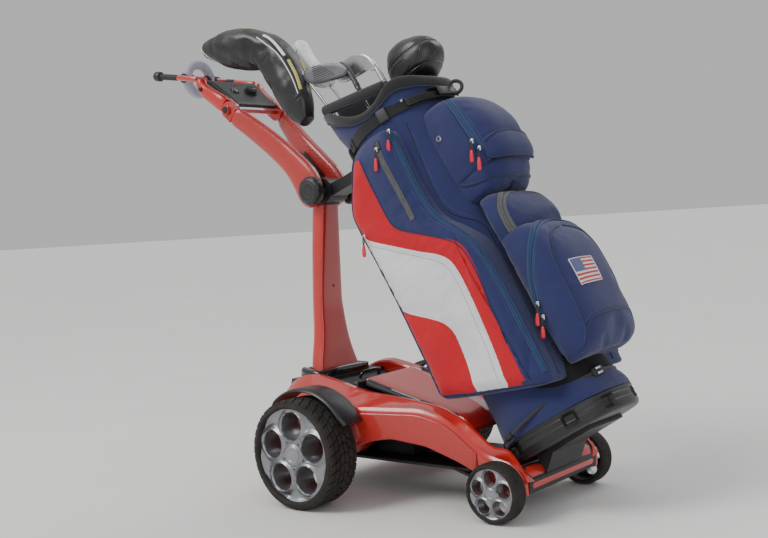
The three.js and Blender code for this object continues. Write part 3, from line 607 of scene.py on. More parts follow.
def rim_face(spec):
    """The cast front of a rim: five lipped windows, spokes between them and a flat centre disc."""
    outer, hub, centre, hole = spec["rim"], spec["hub"], spec["centre"], spec["hole"]
    middles = [
        (centre * math.cos(math.radians(90 + 72 * k)), centre * math.sin(math.radians(90 + 72 * k)))
        for k in range(5)
    ]
    windows = [ring_points(hole, 36, *m) for m in middles]
    rows = [ring_points(hole * k, 36, *m) for m in middles for k in (1.08, 1.17, 1.26, 1.38)]
    rows += [ring_points(outer * k, 72, phase=0.02) for k in (0.93, 0.96, 0.985)]
    rows += [ring_points(hub * k, 40) for k in (0.3, 0.6, 0.9, 0.98, 1.06, 1.2)]
    rows += [ring_points(outer * k, 60, phase=0.05 * k) for k in (0.45, 0.55, 0.65, 0.75, 0.85)]

    def near(p):
        return min(math.dist(p, m) for m in middles)

    extra = []
    for row in rows:
        extra.extend(p for p in row if near(p) > hole * 1.04 and math.hypot(*p) < outer * 0.992)
    points, faces = cdt_fill([ring_points(outer, 72)], windows, extra)
    kept = []
    for f in faces:
        middle = sum((points[i] for i in f), Vector((0, 0))) / len(f)
        if near(middle) > hole * 0.985:
            kept.append(f)
    size = outer / 94

    def height(p):
        r = math.hypot(p.x, p.y)
        away = near(p) / hole
        base = np.interp(
            r / outer, [0, 0.3, 0.62, 0.92, 0.97, 1.0], [0, -0.5, -2.5, -5.0, -1.0, 0.0]
        ) * size
        lip = 4.2 * size * math.exp(-(((away - 1.10) / 0.085) ** 2))
        valley = -4.5 * size * math.exp(-(((away - 1.5) / 0.16) ** 2)) * min(
            1, max(0, (r / outer - 0.42) * 4)
        )
        disc = 1.6 * size / (1 + math.exp((r - hub) / (0.5 * size)))
        groove = -1.2 * size * math.exp(-(((r - hub * 1.03) / (0.9 * size)) ** 2))
        return base + lip + valley + disc + groove

    return points, kept, height, windows, middles, size


def wheel(end, word, side, spec):
    """A wheel's tyre and rim, turned about its axle."""
    centre = Vector((spec["x"], side * spec["y"], spec["z"]))
    out = Vector((0, side, 0))
    up = Vector((0, 0, 1))
    ahead = up.cross(out)
    half = spec["width"] / 2
    radius, rim = spec["radius"], spec["rim"]
    body = f"{end}_wheel_{word}"

    def at(a, r, o):
        angle = math.radians(a)
        return centre + (ahead * (r * math.cos(angle)) + up * (r * math.sin(angle)) + out * o) / 1000

    low = radius - spec["tread"]
    wall = low - rim
    shell = [
        (rim - 2, half - 5), (rim + 0.04 * wall, half - 1.5), (rim + 0.2 * wall, half - 0.4),
        (rim + 0.4 * wall, half - 1.2), (rim + 0.55 * wall, half - 2.4),
        (low - 0.25 * wall, half - 2.6), (low, half - 6), (low + 1, half - 12), (low + 1, 0),
        (low + 1, 12 - half), (low, 6 - half), (low - 0.25 * wall, 2.6 - half),
        (rim + 0.5 * wall, 2.4 - half), (rim + 0.2 * wall, 0.6 - half), (rim - 2, 4 - half),
        (rim - 3, 0)
    ]
    parts = [lathe_mm(shell, centre, out, 72, closed=True)]
    rows, count, skew = spec["rows"], spec["blocks"], spec["skew"]
    pitch = (spec["width"] - 8) / rows
    for row in range(rows):
        low_edge = -half + 4 + row * pitch + spec["gap"] / 2
        high_edge = low_edge + pitch - spec["gap"]
        turn = (row % 2) * 0.5 + (0.18 if row % 3 == 2 else 0)
        lean = skew * (1 if row < rows / 2 else -1)
        for k in range(count):
            step = 360 / count
            a0 = (k + turn) * step + spec["slot"] / 2
            a1 = (k + 1 + turn) * step - spec["slot"] / 2
            edge = radius - (2.6 if row in (0, rows - 1) else 0)
            tops = [
                (low_edge, edge if row == 0 else radius),
                (high_edge, edge if row == rows - 1 else radius)
            ]
            verts = []
            for depth in (-1.5, spec["tread"] - 0.9, spec["tread"]):
                inset = 0.6 if depth == spec["tread"] else 0
                shift = 0.14 if depth == spec["tread"] else 0
                for i, (o, top) in enumerate(tops):
                    sign = 1 if i == 0 else -1
                    drop = radius - top
                    for a in (a0 + shift, a1 - shift) if i == 0 else (
                        a1 - shift + lean, a0 + shift + lean
                    ):
                        verts.append(at(a, low + depth - drop, o + sign * inset))
            faces = [(8, 9, 10, 11)]
            for j in range(4):
                faces.append((j, (j + 1) % 4, 4 + (j + 1) % 4, 4 + j))
                faces.append((4 + j, 4 + (j + 1) % 4, 8 + (j + 1) % 4, 8 + j))
            parts.append((verts, faces))
    add(f"{end}_tyre_skin_{word}", merge(parts), body, RUBBER, "tyre", [f"{end}_tyre_{word}"], sharp=32)

    points, faces, height, windows, middles, size = rim_face(spec)
    face_o = half - 7 * size

    def face_at(p, depth=0.0):
        return centre + (ahead * p[0] + up * p[1] + out * (face_o + depth)) / 1000

    verts = [face_at(p, height(p)) for p in points]
    pieces = [(verts, faces)]
    for loop, middle in zip(windows, middles):
        rings = []
        for k, depth in (
            (1.0, None), (0.985, -6), (0.95, -20), (0.9, -spec["depth"]), (0.93, -spec["depth"] - 2)
        ):
            ring = []
            for p in loop:
                q = (middle[0] + (p[0] - middle[0]) * k, middle[1] + (p[1] - middle[1]) * k)
                ring.append(face_at(q, height(Vector(p)) if depth is None else depth * size))
            rings.append(ring)
        pieces.append(loft(rings, cap=False))
    barrel = [
        (rim, face_o), (rim, face_o - 22 * size), (rim - 4, face_o - 24 * size), (rim - 5, 8 - half),
        (rim - 1, 4 - half)
    ]
    pieces.append(lathe_mm(barrel, centre, out, 72))
    hub_profile = [
        (0, face_o - 12), (spec["hub"] * 0.9, face_o - 12), (spec["hub"] * 0.8, 14 - half),
        (9.5, 12 - half)
    ]
    pieces.append(lathe_mm(hub_profile, centre, out, 32))
    add(f"{end}_rim_skin_{word}", merge(pieces), body, RIM, "rim", [f"{end}_rim_{word}"], sharp=50)

    bolts = []
    for k in range(5):
        angle = math.radians(90 + 36 + 72 * k)
        place = face_at((spec["hub"] * 1.27 * math.cos(angle), spec["hub"] * 1.27 * math.sin(angle)))
        r = 3.1 * size / 1000
        cap = [
            (0, 0.0032), (r * 0.55, 0.0032), (r * 0.62, 0.0024), (r, 0.0022), (r, -0.004), (0, -0.004)
        ]
        bolts.append(lathe([(a, b * size) for a, b in cap], place, out, 6))
    disc = [
        (0, 0.0008), (0.55, 0.0008), (0.6, 0.0016), (0.82, 0.0016), (0.88, 0.0006), (0.88, -0.003),
        (0, -0.003)
    ]
    bolts.append(
        lathe(
            [(spec["hub"] / 1000 * a, b * size + 0.0012 * size) for a, b in disc], face_at((0, 0)), out,
            40
        )
    )
    add(f"{end}_lug_bolts_{word}", merge(bolts), body, RIM, "rim", sharp=30)


REAR_WHEEL = dict(
    x=AXLE_X, y=REAR_Y, z=REAR_Z, radius=121.7, rim=105, width=93, tread=5.0, rows=6, blocks=36,
    skew=3.4, gap=2.4, slot=1.5, hub=24, centre=64, hole=30.5, depth=46
)
FRONT_WHEEL = dict(
    x=FRONT_X, y=FRONT_Y, z=FRONT_Z, radius=62.2, rim=53, width=47, tread=1.6, rows=4, blocks=26,
    skew=2.0, gap=1.4, slot=1.4, hub=12.5, centre=32.8, hole=15.2, depth=40
)
for _word, _side in SIDES:
    wheel("rear", _word, _side, REAR_WHEEL)
    wheel("front", _word, _side, FRONT_WHEEL)


# ---------------------------------------------------------------- chassis
BEAM_TOP = [
    (-186, 216), (-150, 252), (-110, 270), (-70, 274), (-20, 264), (70, 243), (200, 231), (284, 218),
    (343, 196), (387, 168), (410, 148), (430, 142), (455, 146), (482, 112), (500, 84)
]
BEAM_CREASE = [
    (-186, 180), (-150, 200), (-20, 204), (250, 206), (310, 190), (347, 165), (374, 140), (400, 120),
    (430, 110), (458, 106), (482, 90), (500, 70)
]
BEAM_LOW = [
    (-186, 110), (-150, 92), (40, 92), (80, 122), (130, 140), (184, 148), (268, 136), (345, 106),
    (380, 88), (410, 52), (430, 42), (470, 42), (500, 52)
]
BEAM_OUTER = [(-186, 176), (-150, 200), (100, 201), (395, 151), (500, 148)]
BEAM_INNER = [(-186, 120), (300, 119), (345, 128), (380, 137), (500, 137)]


def soft(table, x, reach=14):
    """A table's reading, averaged over a short stretch so that its corners turn smoothly."""
    weights = (1, 2, 3, 2, 1)
    total = sum(w * lerp_table(table, x + reach * k) for w, k in zip(weights, (-1, -0.5, 0, 0.5, 1)))
    return total / sum(weights)


def beam_section(x):
    """A side beam's (out, up) section at one place along the cart."""
    top, crease, low = soft(BEAM_TOP, x), soft(BEAM_CREASE, x), soft(BEAM_LOW, x, 9)
    outer, inner = soft(BEAM_OUTER, x), soft(BEAM_INNER, x)
    shoulder = inner + 0.3 * (outer - inner)
    crease = max(crease, low + 12)
    wall = outer - 1.2
    return [
        (inner + 0.6, low + 2), (inner + 0.6, top - 8), (inner + 3, top - 3.5),
        (shoulder - 4, top - 0.8), (shoulder, top - 0.4), (shoulder + 4, top - 2.6),
        (shoulder + 0.55 * (wall - shoulder), top + 0.55 * (crease + 9 - top) - 3.0),
        (wall - 6, crease + 11), (wall - 2, crease + 6), (wall, crease), (wall + 0.4, crease - 8),
        (wall, low + 9), (wall - 1.5, low + 3.5), (wall - 6, low + 1)
    ]


def side_beam(word, side):
    """A glossy beam beside the chassis, with a softly turned shoulder."""
    stations = [-184, -180, -172, -160, -146, *range(-130, 480, 12), 484, 492, 497]
    rings = []
    for x in stations:
        squeeze = min(1, 0.86 + (x + 184) * 0.012) if x < -172 else 1
        ring = []
        for y, z in beam_section(x):
            mid = (soft(BEAM_TOP, x) + soft(BEAM_LOW, x)) / 2
            ring.append(cart(x, -y * (squeeze if y > 140 else 1), mid + (z - mid) * squeeze))
        rings.append(ring)
    shape = both_sides(loft(rings), side)
    add(f"side_beam_skin_{word}", shape, ROOT, RED, "red_paint", [f"side_beam_{word}"], sharp=26)


def side_panel(word, side):
    """The thin carbon-look cover over a beam's outer face."""
    rings = []
    stations = [62, 66, 74, 86, *range(98, 372, 12), 374, 380, 384]
    for x in stations:
        face, low = soft(BEAM_OUTER, x) + 0.2, soft(BEAM_LOW, x, 9) + 2.5
        high = max(soft(BEAM_CREASE, x) - 1.5, low + 10)
        lip = 3.4 if 66 <= x <= 380 else 1.6
        rings.append([
            cart(x, -face + 1.5, low), cart(x, -face + 1.5, high),
            cart(x, -face - lip * 0.55, high + 0.4), cart(x, -face - lip * 0.92, high - 1.4),
            cart(x, -face - lip, high - 4), cart(x, -face - lip - 0.3, (low + high) / 2),
            cart(x, -face - lip, low + 4), cart(x, -face - lip * 0.8, low + 1.2),
            cart(x, -face - lip * 0.3, low)
        ])
    add(
        f"side_panel_skin_{word}", both_sides(loft(rings), side), ROOT, CARBON, "red_paint",
        [f"side_panel_{word}"], sharp=35
    )


AXLE_HEIGHT = 121.73


def mudguard(word, side):
    """A rolled arch over the tyre's inner edge."""
    section = [
        (203.2, 133.4), (206, 138.5), (212, 140.4), (262, 141.0), (267, 140.2), (270.4, 137.6),
        (271.6, 134.6), (270.6, 133.2), (268, 135.0), (262, 136.4), (214, 135.6)
    ]
    rings = []
    for k in range(41):
        a = math.radians(29 + 110 * k / 40)
        trim = min(k, 40 - k)
        reach = 1.0 if trim > 3 else 0.90 + trim * 0.033
        rings.append([
            cart(
                r * math.cos(a), -(203.2 + (y - 203.2) * (reach if y > 215 else 1)),
                AXLE_HEIGHT + r * math.sin(a)
            ) for y, r in section
        ])
    add(
        f"mudguard_skin_{word}", both_sides(loft(rings), side), ROOT, SATIN, "black_plastic",
        [f"mudguard_{word}"], sharp=45
    )
    web = []
    for k in range(14):
        a = math.radians(38 + 24 * k / 13)
        web.append([
            cart(r * math.cos(a), -y, AXLE_HEIGHT + r * math.sin(a))
            for y, r in (
                (202.6, 136), (202.6, 108 - 14 * math.sin(math.pi * k / 13)),
                (205.0, 109 - 14 * math.sin(math.pi * k / 13)), (205.0, 135)
            )
        ])
    add(f"wheel_arch_web_{word}", both_sides(loft(web), side), ROOT, BLACK, "black_plastic", sharp=30)


for _word, _side in SIDES:
    side_beam(_word, _side)
    side_panel(_word, _side)
    mudguard(_word, _side)


def nose_shell():
    """The red front of the chassis between the beams, with a raised triangle on each side."""
    stations = [-136, -132, -120, -96, -70, -62, -40, 0, 40, 62, 70, 96, 120, 132, 136]
    rings = []
    for y in stations:
        pull = 1 if abs(y) < 130 else 0.93
        dip = 10 * math.exp(-((y / 60) ** 4))
        profile = [
            (418, 76), (440, 90), (462, 101 - dip * 0.4), (482, 105.5 - dip), (489, 100 - dip),
            (499, 80), (500, 68), (497, 57), (484, 50), (474, 44), (462, 50), (450, 66), (430, 66)
        ]
        mid = (462, 74)
        rings.append([
            cart(mid[0] + (x - mid[0]) * pull, y, mid[1] + (z - mid[1]) * pull) for x, z in profile
        ])
    return add("nose_shell", loft(rings), ROOT, RED, "red_paint", bevel=0.0012, sharp=32)


def nose_triangles():
    """Bright raised facets at the front corners of the nose."""
    for word, side in SIDES:
        a, b, c = (cart(484, side * 146, 109), cart(501.5, side * 147, 82), cart(501.5, side * 118, 78))
        d = cart(494, side * 138, 96)
        inner = [cart(478, side * 140, 92), cart(492, side * 140, 70), cart(492, side * 118, 74)]
        verts = [a, b, c, d, *inner]
        faces = [(0, 1, 3), (1, 2, 3), (2, 0, 3), (0, 4, 5, 1), (1, 5, 6, 2), (2, 6, 4, 0), (4, 6, 5)]
        add(f"nose_facet_{word}", (verts, faces), ROOT, RED, "red_paint", bevel=0.0012, smooth=False)


nose_shell()
nose_triangles()


def deck_cover():
    """The red cover between the beams, with a slanting crease and a raised middle."""
    line = smooth_path([(44, 0, 262), (150, 0, 234), (300, 0, 196), (340, 0, 170)], 12)
    rings = []
    for i, (x, _, z) in enumerate(line):
        f = i / (len(line) - 1)
        ridge = 70 - 96 * f
        ends = min(1, 0.6 + min(i, len(line) - 1 - i) * 0.2)
        across = [-96, -94, -88, -60, ridge - 8, ridge, ridge + 8, 88, 94, 96]
        lift = [-6, -2.5, -0.5, 0.6, 4.5, 6.0, 3.5, -0.5, -2.5, -6]
        order = sorted(zip(across, lift))
        ring = [cart(x, y, z + h * ends) for y, h in order]
        ring += [cart(x, 94, z - 9), cart(x, -94, z - 9)]
        rings.append(ring)
    add("deck_cover_skin", loft(rings), ROOT, RED, "red_paint", ["deck_cover"], sharp=22)
    for word, side in SIDES:
        strip = [(x, z) for x, _, z in line[1:-4]]
        section = [(97, -10), (97, 1.0), (98.4, 2.4), (106, 1.4), (112, -3), (112, -10)]
        rings = [[cart(x, side * y, z + h) for y, h in section] for x, z in strip]
        add(f"deck_strip_{word}", loft(rings), ROOT, BLACK, "black_plastic", bevel=0.0006, sharp=30)
        nib = [
            [cart(x, side * y, z + h) for y, h in ((103, 1.9), (103, 2.8), (108, 1.9), (108, 0.9))]
            for x, z in strip[6:14]
        ]
        add(f"deck_strip_rail_{word}", loft(nib), ROOT, STEEL, "steel", bevel=0.0002)


deck_cover()


def collar_skin():
    """The wavy rubber cuff round the mast's foot."""
    rings = []
    for z, grow in (
        (250, 1.0), (258, 1.03), (266, 1.03), (271, 1.0), (273, 0.93), (271, 0.84), (262, 0.8)
    ):
        ring = []
        for i in range(48):
            a = 2 * math.pi * i / 48
            c, s = math.cos(a), math.sin(a)
            x = 51 * signed_power(c, 0.6) * grow
            y = 89 * signed_power(s, 0.5) * grow
            ring.append(cart(-141 + x, y, z + (4.0 * math.cos(3 * a) if 255 < z else 0)))
        rings.append(ring)
    verts, faces = loft(rings, cap=False)
    add("mast_collar_skin", (verts, faces), ROOT, GLOSS, "black_plastic", sub=1)


collar_skin()


def tray_details():
    """Ribs, a connector hood and a latch on the tray between mast and deck cover."""
    parts = []
    for k in range(5):
        x = -38 + 16 * k
        ring = [(x, 201), (x, 206.5), (x + 3, 208), (x + 6, 206.5), (x + 6, 201)]
        parts.append(loft([[cart(px, y, pz) for px, pz in ring] for y in (-104, -100, 100, 104)]))
    hood = [(-46, 204), (-46, 236), (-40, 246), (-22, 250), (-8, 244), (2, 226), (4, 204)]
    parts.append(
        loft([
            [cart(px, y, 204 + (pz - 204) * k) for px, pz in hood]
            for y, k in ((-62, 0.8), (-56, 0.97), (-48, 1), (48, 1), (56, 0.97), (62, 0.8))
        ])
    )
    add("tray_ribs", merge(parts), ROOT, BLACK, "black_plastic", bevel=0.0012, sharp=30)
    handle = smooth_path(
        [
            cart(-30, -34, 250), cart(-24, -30, 262), cart(-20, 0, 266), cart(-24, 30, 262),
            cart(-30, 34, 250)
        ], 0.004
    )
    section = [(x * 1.6, y) for x, y in circle(0.0032, 10)]
    add("battery_lift_loop", sweep(handle, section), ROOT, GLOSS, "black_plastic")


tray_details()


# ---------------------------------------------------------------- mast and hinge
MAST_HALF = [(254, 74), (284, 66), (320, 54), (360, 46), (430, 40), (660, 30), (690, 29)]
MAST_FRONT = [(254, -119), (300, -126), (430, -136), (560, -128), (660, -121), (690, -119)]
MAST_REAR = [(254, -160), (300, -170), (430, -177), (560, -173), (660, -167), (690, -163)]


def mast():
    """The mast's skin with its corner crease, its plug and the dark band at its top."""
    rings = []
    for z in [254.6, *range(262, 664, 12), 669.8]:
        w = soft(MAST_HALF, z, 20) - (0.5 if z < 270 else 0)
        front, rear = soft(MAST_FRONT, z, 20), soft(MAST_REAR, z, 20)
        quarter = [
            (front + 0.8, 0), (front + 0.4, w * 0.5), (front, w - 8), (front - 1.2, w - 3.4),
            (front - 4.4, w - 0.8), (front - 10, w), ((front + rear) / 2, w - 0.4), (rear + 13, w - 1),
            (rear + 6, w - 5), (rear + 1.6, w - 11), (rear, w - 17), (rear - 0.4, 0)
        ]
        ring = [cart(x, y, z) for x, y in quarter]
        ring += [cart(x, -y, z) for x, y in reversed(quarter[1:-1])]
        rings.append(ring)
    add("mast_skin", loft(rings), ROOT, RED, "red_paint", ["mast"], sharp=40)
    plug = lathe(
        [(0, 0.0016), (0.0035, 0.0018), (0.0048, 0.0008), (0.0050, -0.004), (0, -0.004)],
        cart(-134.2, 3, 470), (1, 0, -0.02), 20
    )
    add("mast_plug", plug, ROOT, BLACK, "black_plastic", sharp=30)
    parts = []
    for z, grow in ((672, 1.5), (676, 2.4), (682, 2.4), (686, 1.2)):
        parts.append([
            cart(
                -141 + (24 + grow) * signed_power(math.cos(a), 0.6),
                (28 + grow) * signed_power(math.sin(a), 0.6), z
            ) for a in [2 * math.pi * i / 36 for i in range(36)]
        ])
    add("mast_top_band", loft(parts), ROOT, BLACK, "black_plastic", bevel=0.0005, sharp=35)


mast()


def hinge_knob(word, side):
    """A ribbed hand knob with a domed cap and a bolt head."""
    out = Vector((0, side, 0))
    centre = HINGE + out * 0.059
    rings = []
    profile = [
        (9.6, 0.0), (27, 0.0), (31.5, 1.5), (34.5, 4.5), (35.2, 8), (35.2, 16), (34.0, 20), (30, 23.4),
        (24, 25)
    ]
    for r, o in profile:
        ring = []
        for i in range(72):
            a = 2 * math.pi * i / 72
            flute = 1 - (0.055 * max(0, math.cos(9 * a)) ** 1.5 if r > 30 else 0)
            ring.append(centre + (Vector((math.cos(a), 0, math.sin(a))) * (r * flute) + out * o) / 1000)
        rings.append(ring)
    grip = fix_normals(to_mesh(f"hinge_knob_skin_{word}", *loft(rings, cap=False)))
    cap = lathe(
        [(0, 25.4), (6, 25.6), (7, 24.6), (16, 24.8), (20, 24.4), (23, 25.4), (25, 25.0), (25, 22)],
        Vector(), out, 48
    )
    cap = ([centre + v / 1000 for v in cap[0]], cap[1])
    body = f"hinge_knob_{word}"
    finish_piece(grip, body, BLACK, "black_plastic", [body], sharp=40)
    add(f"hinge_knob_cap_{word}", cap, body, GLOSS, "black_plastic", sharp=30)


for _word, _side in SIDES:
    hinge_knob(_word, _side)


# ---------------------------------------------------------------- handle
LOWER_ARM = [
    (-128, 676, 26, 45), (-142, 700, 39, 45), (-158, 732, 40, 45), (-192, 772, 33, 46),
    (-238, 814, 30, 50), (-288, 857, 27.5, 62), (-330, 893, 25, 78), (-350, 908, 23.5, 84)
]
UPPER_ARM = [
    (-386, 939, 21, 84), (-412, 958, 19, 88), (-438, 978, 16, 96), (-453, 996, 13, 99),
    (-457, 1012, 11, 100)
]
ARM_SECTION = [
    (-1, -0.35), (-1, 0.35), (-0.9, 0.72), (-0.68, 0.92), (-0.3, 1), (0.3, 1), (0.68, 0.92),
    (0.9, 0.72), (1, 0.35), (1, -0.35), (0.9, -0.72), (0.68, -0.92), (0.3, -1), (-0.3, -1),
    (-0.68, -0.92), (-0.9, -0.72)
]


def arm_loft(table, side, reach=12.9):
    """An arm lofted along its (x, z, half height, middle) stations."""
    line = smooth_path([(x, z, half, middle) for x, z, half, middle in table], 7)
    rings = []
    for i, (x, z, half, middle) in enumerate(line):
        before, after = line[max(i - 1, 0)], line[min(i + 1, len(line) - 1)]
        length = math.hypot(after[0] - before[0], after[1] - before[1])
        nx, nz = (after[1] - before[1]) / length, -(after[0] - before[0]) / length
        end = min(i, len(line) - 1 - i)
        k = (0.86, 0.97)[end] if end < 2 else 1
        rings.append([
            cart(x + nx * u * half * k, side * (middle + v * reach * k), z + nz * u * half * k)
            for u, v in ARM_SECTION
        ])
    return loft(rings)


def half_lap(side, inner, towards):
    """The round half-thickness end of an arm at the tilt pivot."""
    y0, y1 = (84.5, 96.6) if not inner else (71.4, 83.5)
    tx, tz = -368, 925
    outline = []
    angle = math.atan2(towards[1], towards[0])
    for k in range(15):
        a = angle + math.radians(102 + 156 * k / 14)
        outline.append((tx + 21.6 * math.cos(a), tz + 21.6 * math.sin(a)))
    nx, nz = -math.sin(angle), math.cos(angle)
    for s in (-1, 1):
        outline.append((
            tx + 24 * math.cos(angle) + s * 20.5 * nx, tz + 24 * math.sin(angle) + s * 20.5 * nz
        ))
    rings = []
    for y, k in ((y0, 0.95), (y0 + 1.2, 1), (y1 - 1.2, 1), (y1, 0.95)):
        rings.append([cart(tx + (x - tx) * k, side * y, tz + (z - tz) * k) for x, z in outline])
    return loft(rings)


for _word, _side in SIDES:
    _parts = [arm_loft(LOWER_ARM, _side), half_lap(_side, False, (18, -16))]
    add(
        f"lower_arm_skin_{_word}", merge(_parts), "handle_lower", CARBON, "red_paint",
        [f"lower_arm_{_word}"], sharp=38
    )
    _parts = [arm_loft(UPPER_ARM, _side), half_lap(_side, True, (-18, 14))]
    add(
        f"upper_arm_skin_{_word}", merge(_parts), "handle_upper", RED, "red_paint",
        [f"upper_arm_{_word}"], sharp=38
    )
    _out = Vector((0, _side, 0))
    _bolt = [(0, 3.2), (3.0, 3.2), (3.6, 2.4), (7.4, 2.8), (8.6, 1.6), (9.0, 0), (9.0, -3), (0, -3)]
    _heads = [lathe_mm(_bolt, TILT + _out * 0.104, _out, 24)]
    _heads.append(
        lathe([(r * 0.62 / 1000, h / 1000) for r, h in _bolt], cart(-447, _side * 112, 986), _out, 20)
    )
    add(f"pivot_bolts_{_word}", merge(_heads), "handle_upper", BLACK, "black_plastic", sharp=30)


def arm_web():
    """The moulded brace between the lower arms, with two ribs."""
    outline = [
        (-163, 744), (-169, 738), (-175, 735), (-206, 767), (-238, 800), (-236, 806), (-228, 812),
        (-196, 778)
    ]
    mid = (-201, 773)
    rings = []
    for y in (-31.2, -30, -24, -18, -14, 0, 14, 18, 24, 30, 31.2):
        k = 0.8 if 14 < abs(y) < 30 else 0.97
        rings.append([
            cart(mid[0] + (x - mid[0]) * k, y, mid[1] + (z - mid[1]) * k) for x, z in outline
        ])
    add(
        "arm_web_skin", loft(rings), "handle_lower", BLACK, "black_plastic", ["arm_web"], bevel=0.001,
        sharp=30
    )


arm_web()
CONSOLE_LOW, CONSOLE_HIGH = (-362, 938), (-452, 1008)
CONSOLE_LEAN = math.atan2(CONSOLE_HIGH[1] - CONSOLE_LOW[1], CONSOLE_LOW[0] - CONSOLE_HIGH[0])


def console_at(along, y, up):
    """A point over the console's slanting top, from its low edge to its high one."""
    x = CONSOLE_LOW[0] + along * (CONSOLE_HIGH[0] - CONSOLE_LOW[0]) + math.sin(CONSOLE_LEAN) * up
    z = CONSOLE_LOW[1] + along * (CONSOLE_HIGH[1] - CONSOLE_LOW[1]) + math.cos(CONSOLE_LEAN) * up
    return cart(x, y, z)


def console():
    """The flat control console with its dial, button and lamps."""
    rings = []
    for along in [0.0, 0.02, 0.06, 0.14, 0.24, 0.34, 0.44, 0.55, 0.66, 0.76, 0.86, 0.94, 0.98, 1.0]:
        half = np.interp(along, [0, 0.42, 1], [69.8, 70.2, 83.2])
        k = 0.6 if along in (0, 1) else (0.88 if along in (0.02, 0.98) else 1)
        section = [
            (-1, -0.3), (-1, 0.3), (-0.985, 0.75), (-0.95, 1), (-0.9, 0.9), (-0.5, 0.86), (0, 0.86),
            (0.5, 0.86), (0.9, 0.9), (0.95, 1), (0.985, 0.75), (1, 0.3), (1, -0.3), (0.96, -0.85),
            (0.9, -1), (0.4, -0.9), (0, -0.88), (-0.4, -0.9), (-0.9, -1), (-0.96, -0.85)
        ]
        rings.append([console_at(along, u * half, v * 6.9 * k) for u, v in section])
    add("console_skin", loft(rings), "handle_upper", BLACK, "black_plastic", ["console"], sharp=35)
    normal = Vector((math.sin(CONSOLE_LEAN), 0, math.cos(CONSOLE_LEAN)))
    parts = []
    for y, r in ((-30, 12.5), (26, 18.5)):
        ring = [(r - 2.6, -1), (r - 2.6, 0.9), (r - 1.6, 1.5), (r - 0.6, 1.5), (r, 0.8), (r + 0.3, -1)]
        parts.append(lathe_mm(ring, console_at(0.55, y, 6), normal, 40, closed=True))
    add("console_bezels", merge(parts), "handle_upper", DARK_RUBBER, "steel", sharp=40)
    lamp = []
    for k in range(4):
        profile = [(0, 1.1), (1.2, 1.1), (1.7, 0.6), (1.8, -1), (0, -1)]
        place = console_at(0.84, -18 + 12 * k, 6.2)
        lamp.append(lathe_mm(profile, place, normal, 14))
    add("console_lamps", merge(lamp), "handle_upper", TEETH_BLUE, "black_plastic", sharp=40)
    rings = []
    for r, h in (
        (9.0, 0.4), (14.6, 1.6), (15, 4), (15, 13.4), (14, 15.8), (12, 16.6), (9.6, 15.4), (6, 14.8),
        (0.3, 14.8)
    ):
        ring = []
        for i in range(60):
            a = 2 * math.pi * i / 60
            knurl = 1 - (0.05 * (0.5 + 0.5 * math.cos(20 * a)) if 3 < h < 14 else 0)
            u = Vector((math.cos(CONSOLE_LEAN), 0, -math.sin(CONSOLE_LEAN)))
            w = Vector((0, 1, 0))
            ring.append(
                console_at(0.55, 26, 7 + h * 0.66)
                + (u * math.cos(a) + w * math.sin(a)) * (r * knurl / 1000)
            )
        rings.append(ring)
    add(
        "speed_dial_skin", loft(rings), "speed_dial", DARK_RUBBER, "black_plastic", ["speed_dial"],
        sharp=35
    )
    mark = console_at(0.55, 26, 17.4)
    bar = [(-1.0, 0.0), (1.0, 0.0), (1.0, 0.9), (-1.0, 0.9)]
    verts, faces = loft([
        [mark + u * 0.001 * a + normal * (0.001 * b) + Vector((0, y, 0)) for a, b in bar]
        for y in (0.003, 0.0125)
    ])
    add(
        "dial_pointer", (verts, faces), "speed_dial", WHITE_THREAD, "cover_white", bevel=0.0002,
        smooth=False
    )
    profile = [(0, 3.4), (5.4, 3.1), (7.6, 2.2), (8.6, 1.0), (8.8, -1.4), (8.8, -4.6), (0, -4.6)]
    button = lathe_mm(profile, console_at(0.55, -30, 7.4), normal, 36)
    add("power_button_skin", button, "power_button", GLOSS, "black_plastic", ["power_button"], sharp=35)


console()
ROD_DIR = Vector((-624 + 458, 0, 1043 - 1014)).normalized()
ROD_LENGTH = math.hypot(624 - 458, 1043 - 1014)
GRIP_X, GRIP_Z = -580, 1036


def grip_frame():
    """The two rods behind the console and the bar across them."""
    for word, side in SIDES:
        start = cart(-458, side * 100, 1014)
        red = [
            (0, 13), (6.6, 13), (7.2, 14.5), (7.2, ROD_LENGTH * 0.52), (6.6, ROD_LENGTH * 0.53),
            (0, ROD_LENGTH * 0.53)
        ]
        dark = [
            (0, ROD_LENGTH * 0.52), (7.4, ROD_LENGTH * 0.53), (7.8, ROD_LENGTH * 0.545),
            (7.8, ROD_LENGTH - 9), (0, ROD_LENGTH - 9)
        ]
        add(
            f"grip_rod_red_{word}", lathe_mm(red, start, ROD_DIR, 24), "handle_upper", RED, "red_paint",
            ["grip_frame"] if side < 0 else [], sharp=35
        )
        add(
            f"grip_rod_sleeve_{word}", lathe_mm(dark, start, ROD_DIR, 24), "handle_upper", DARK_RUBBER,
            "black_plastic", sharp=35
        )
        cap = [
            (0, -11), (7.4, -11), (11.6, -9.6), (13, -7), (13, 6), (12.4, 9), (9.4, 11.4), (4, 12),
            (0, 12)
        ]
        rings = [(r / 1000, (h + ROD_LENGTH) / 1000) for r, h in cap]
        add(
            f"grip_rod_cap_{word}", lathe(rings, start, ROD_DIR, 28), "handle_upper", BLACK,
            "black_plastic", sharp=40
        )
    bar = [
        (0, -99), (7.8, -99), (7.8, -30), (9.6, -28), (9.6, -18), (7.8, -16), (7.8, 16), (9.6, 18),
        (9.6, 28), (7.8, 30), (7.8, 99), (0, 99)
    ]
    cross = lathe_mm(bar, cart(GRIP_X, 0, GRIP_Z), (0, 1, 0), 24)
    add("grip_cross_bar", cross, "handle_upper", RED, "red_paint", sharp=30)


grip_frame()


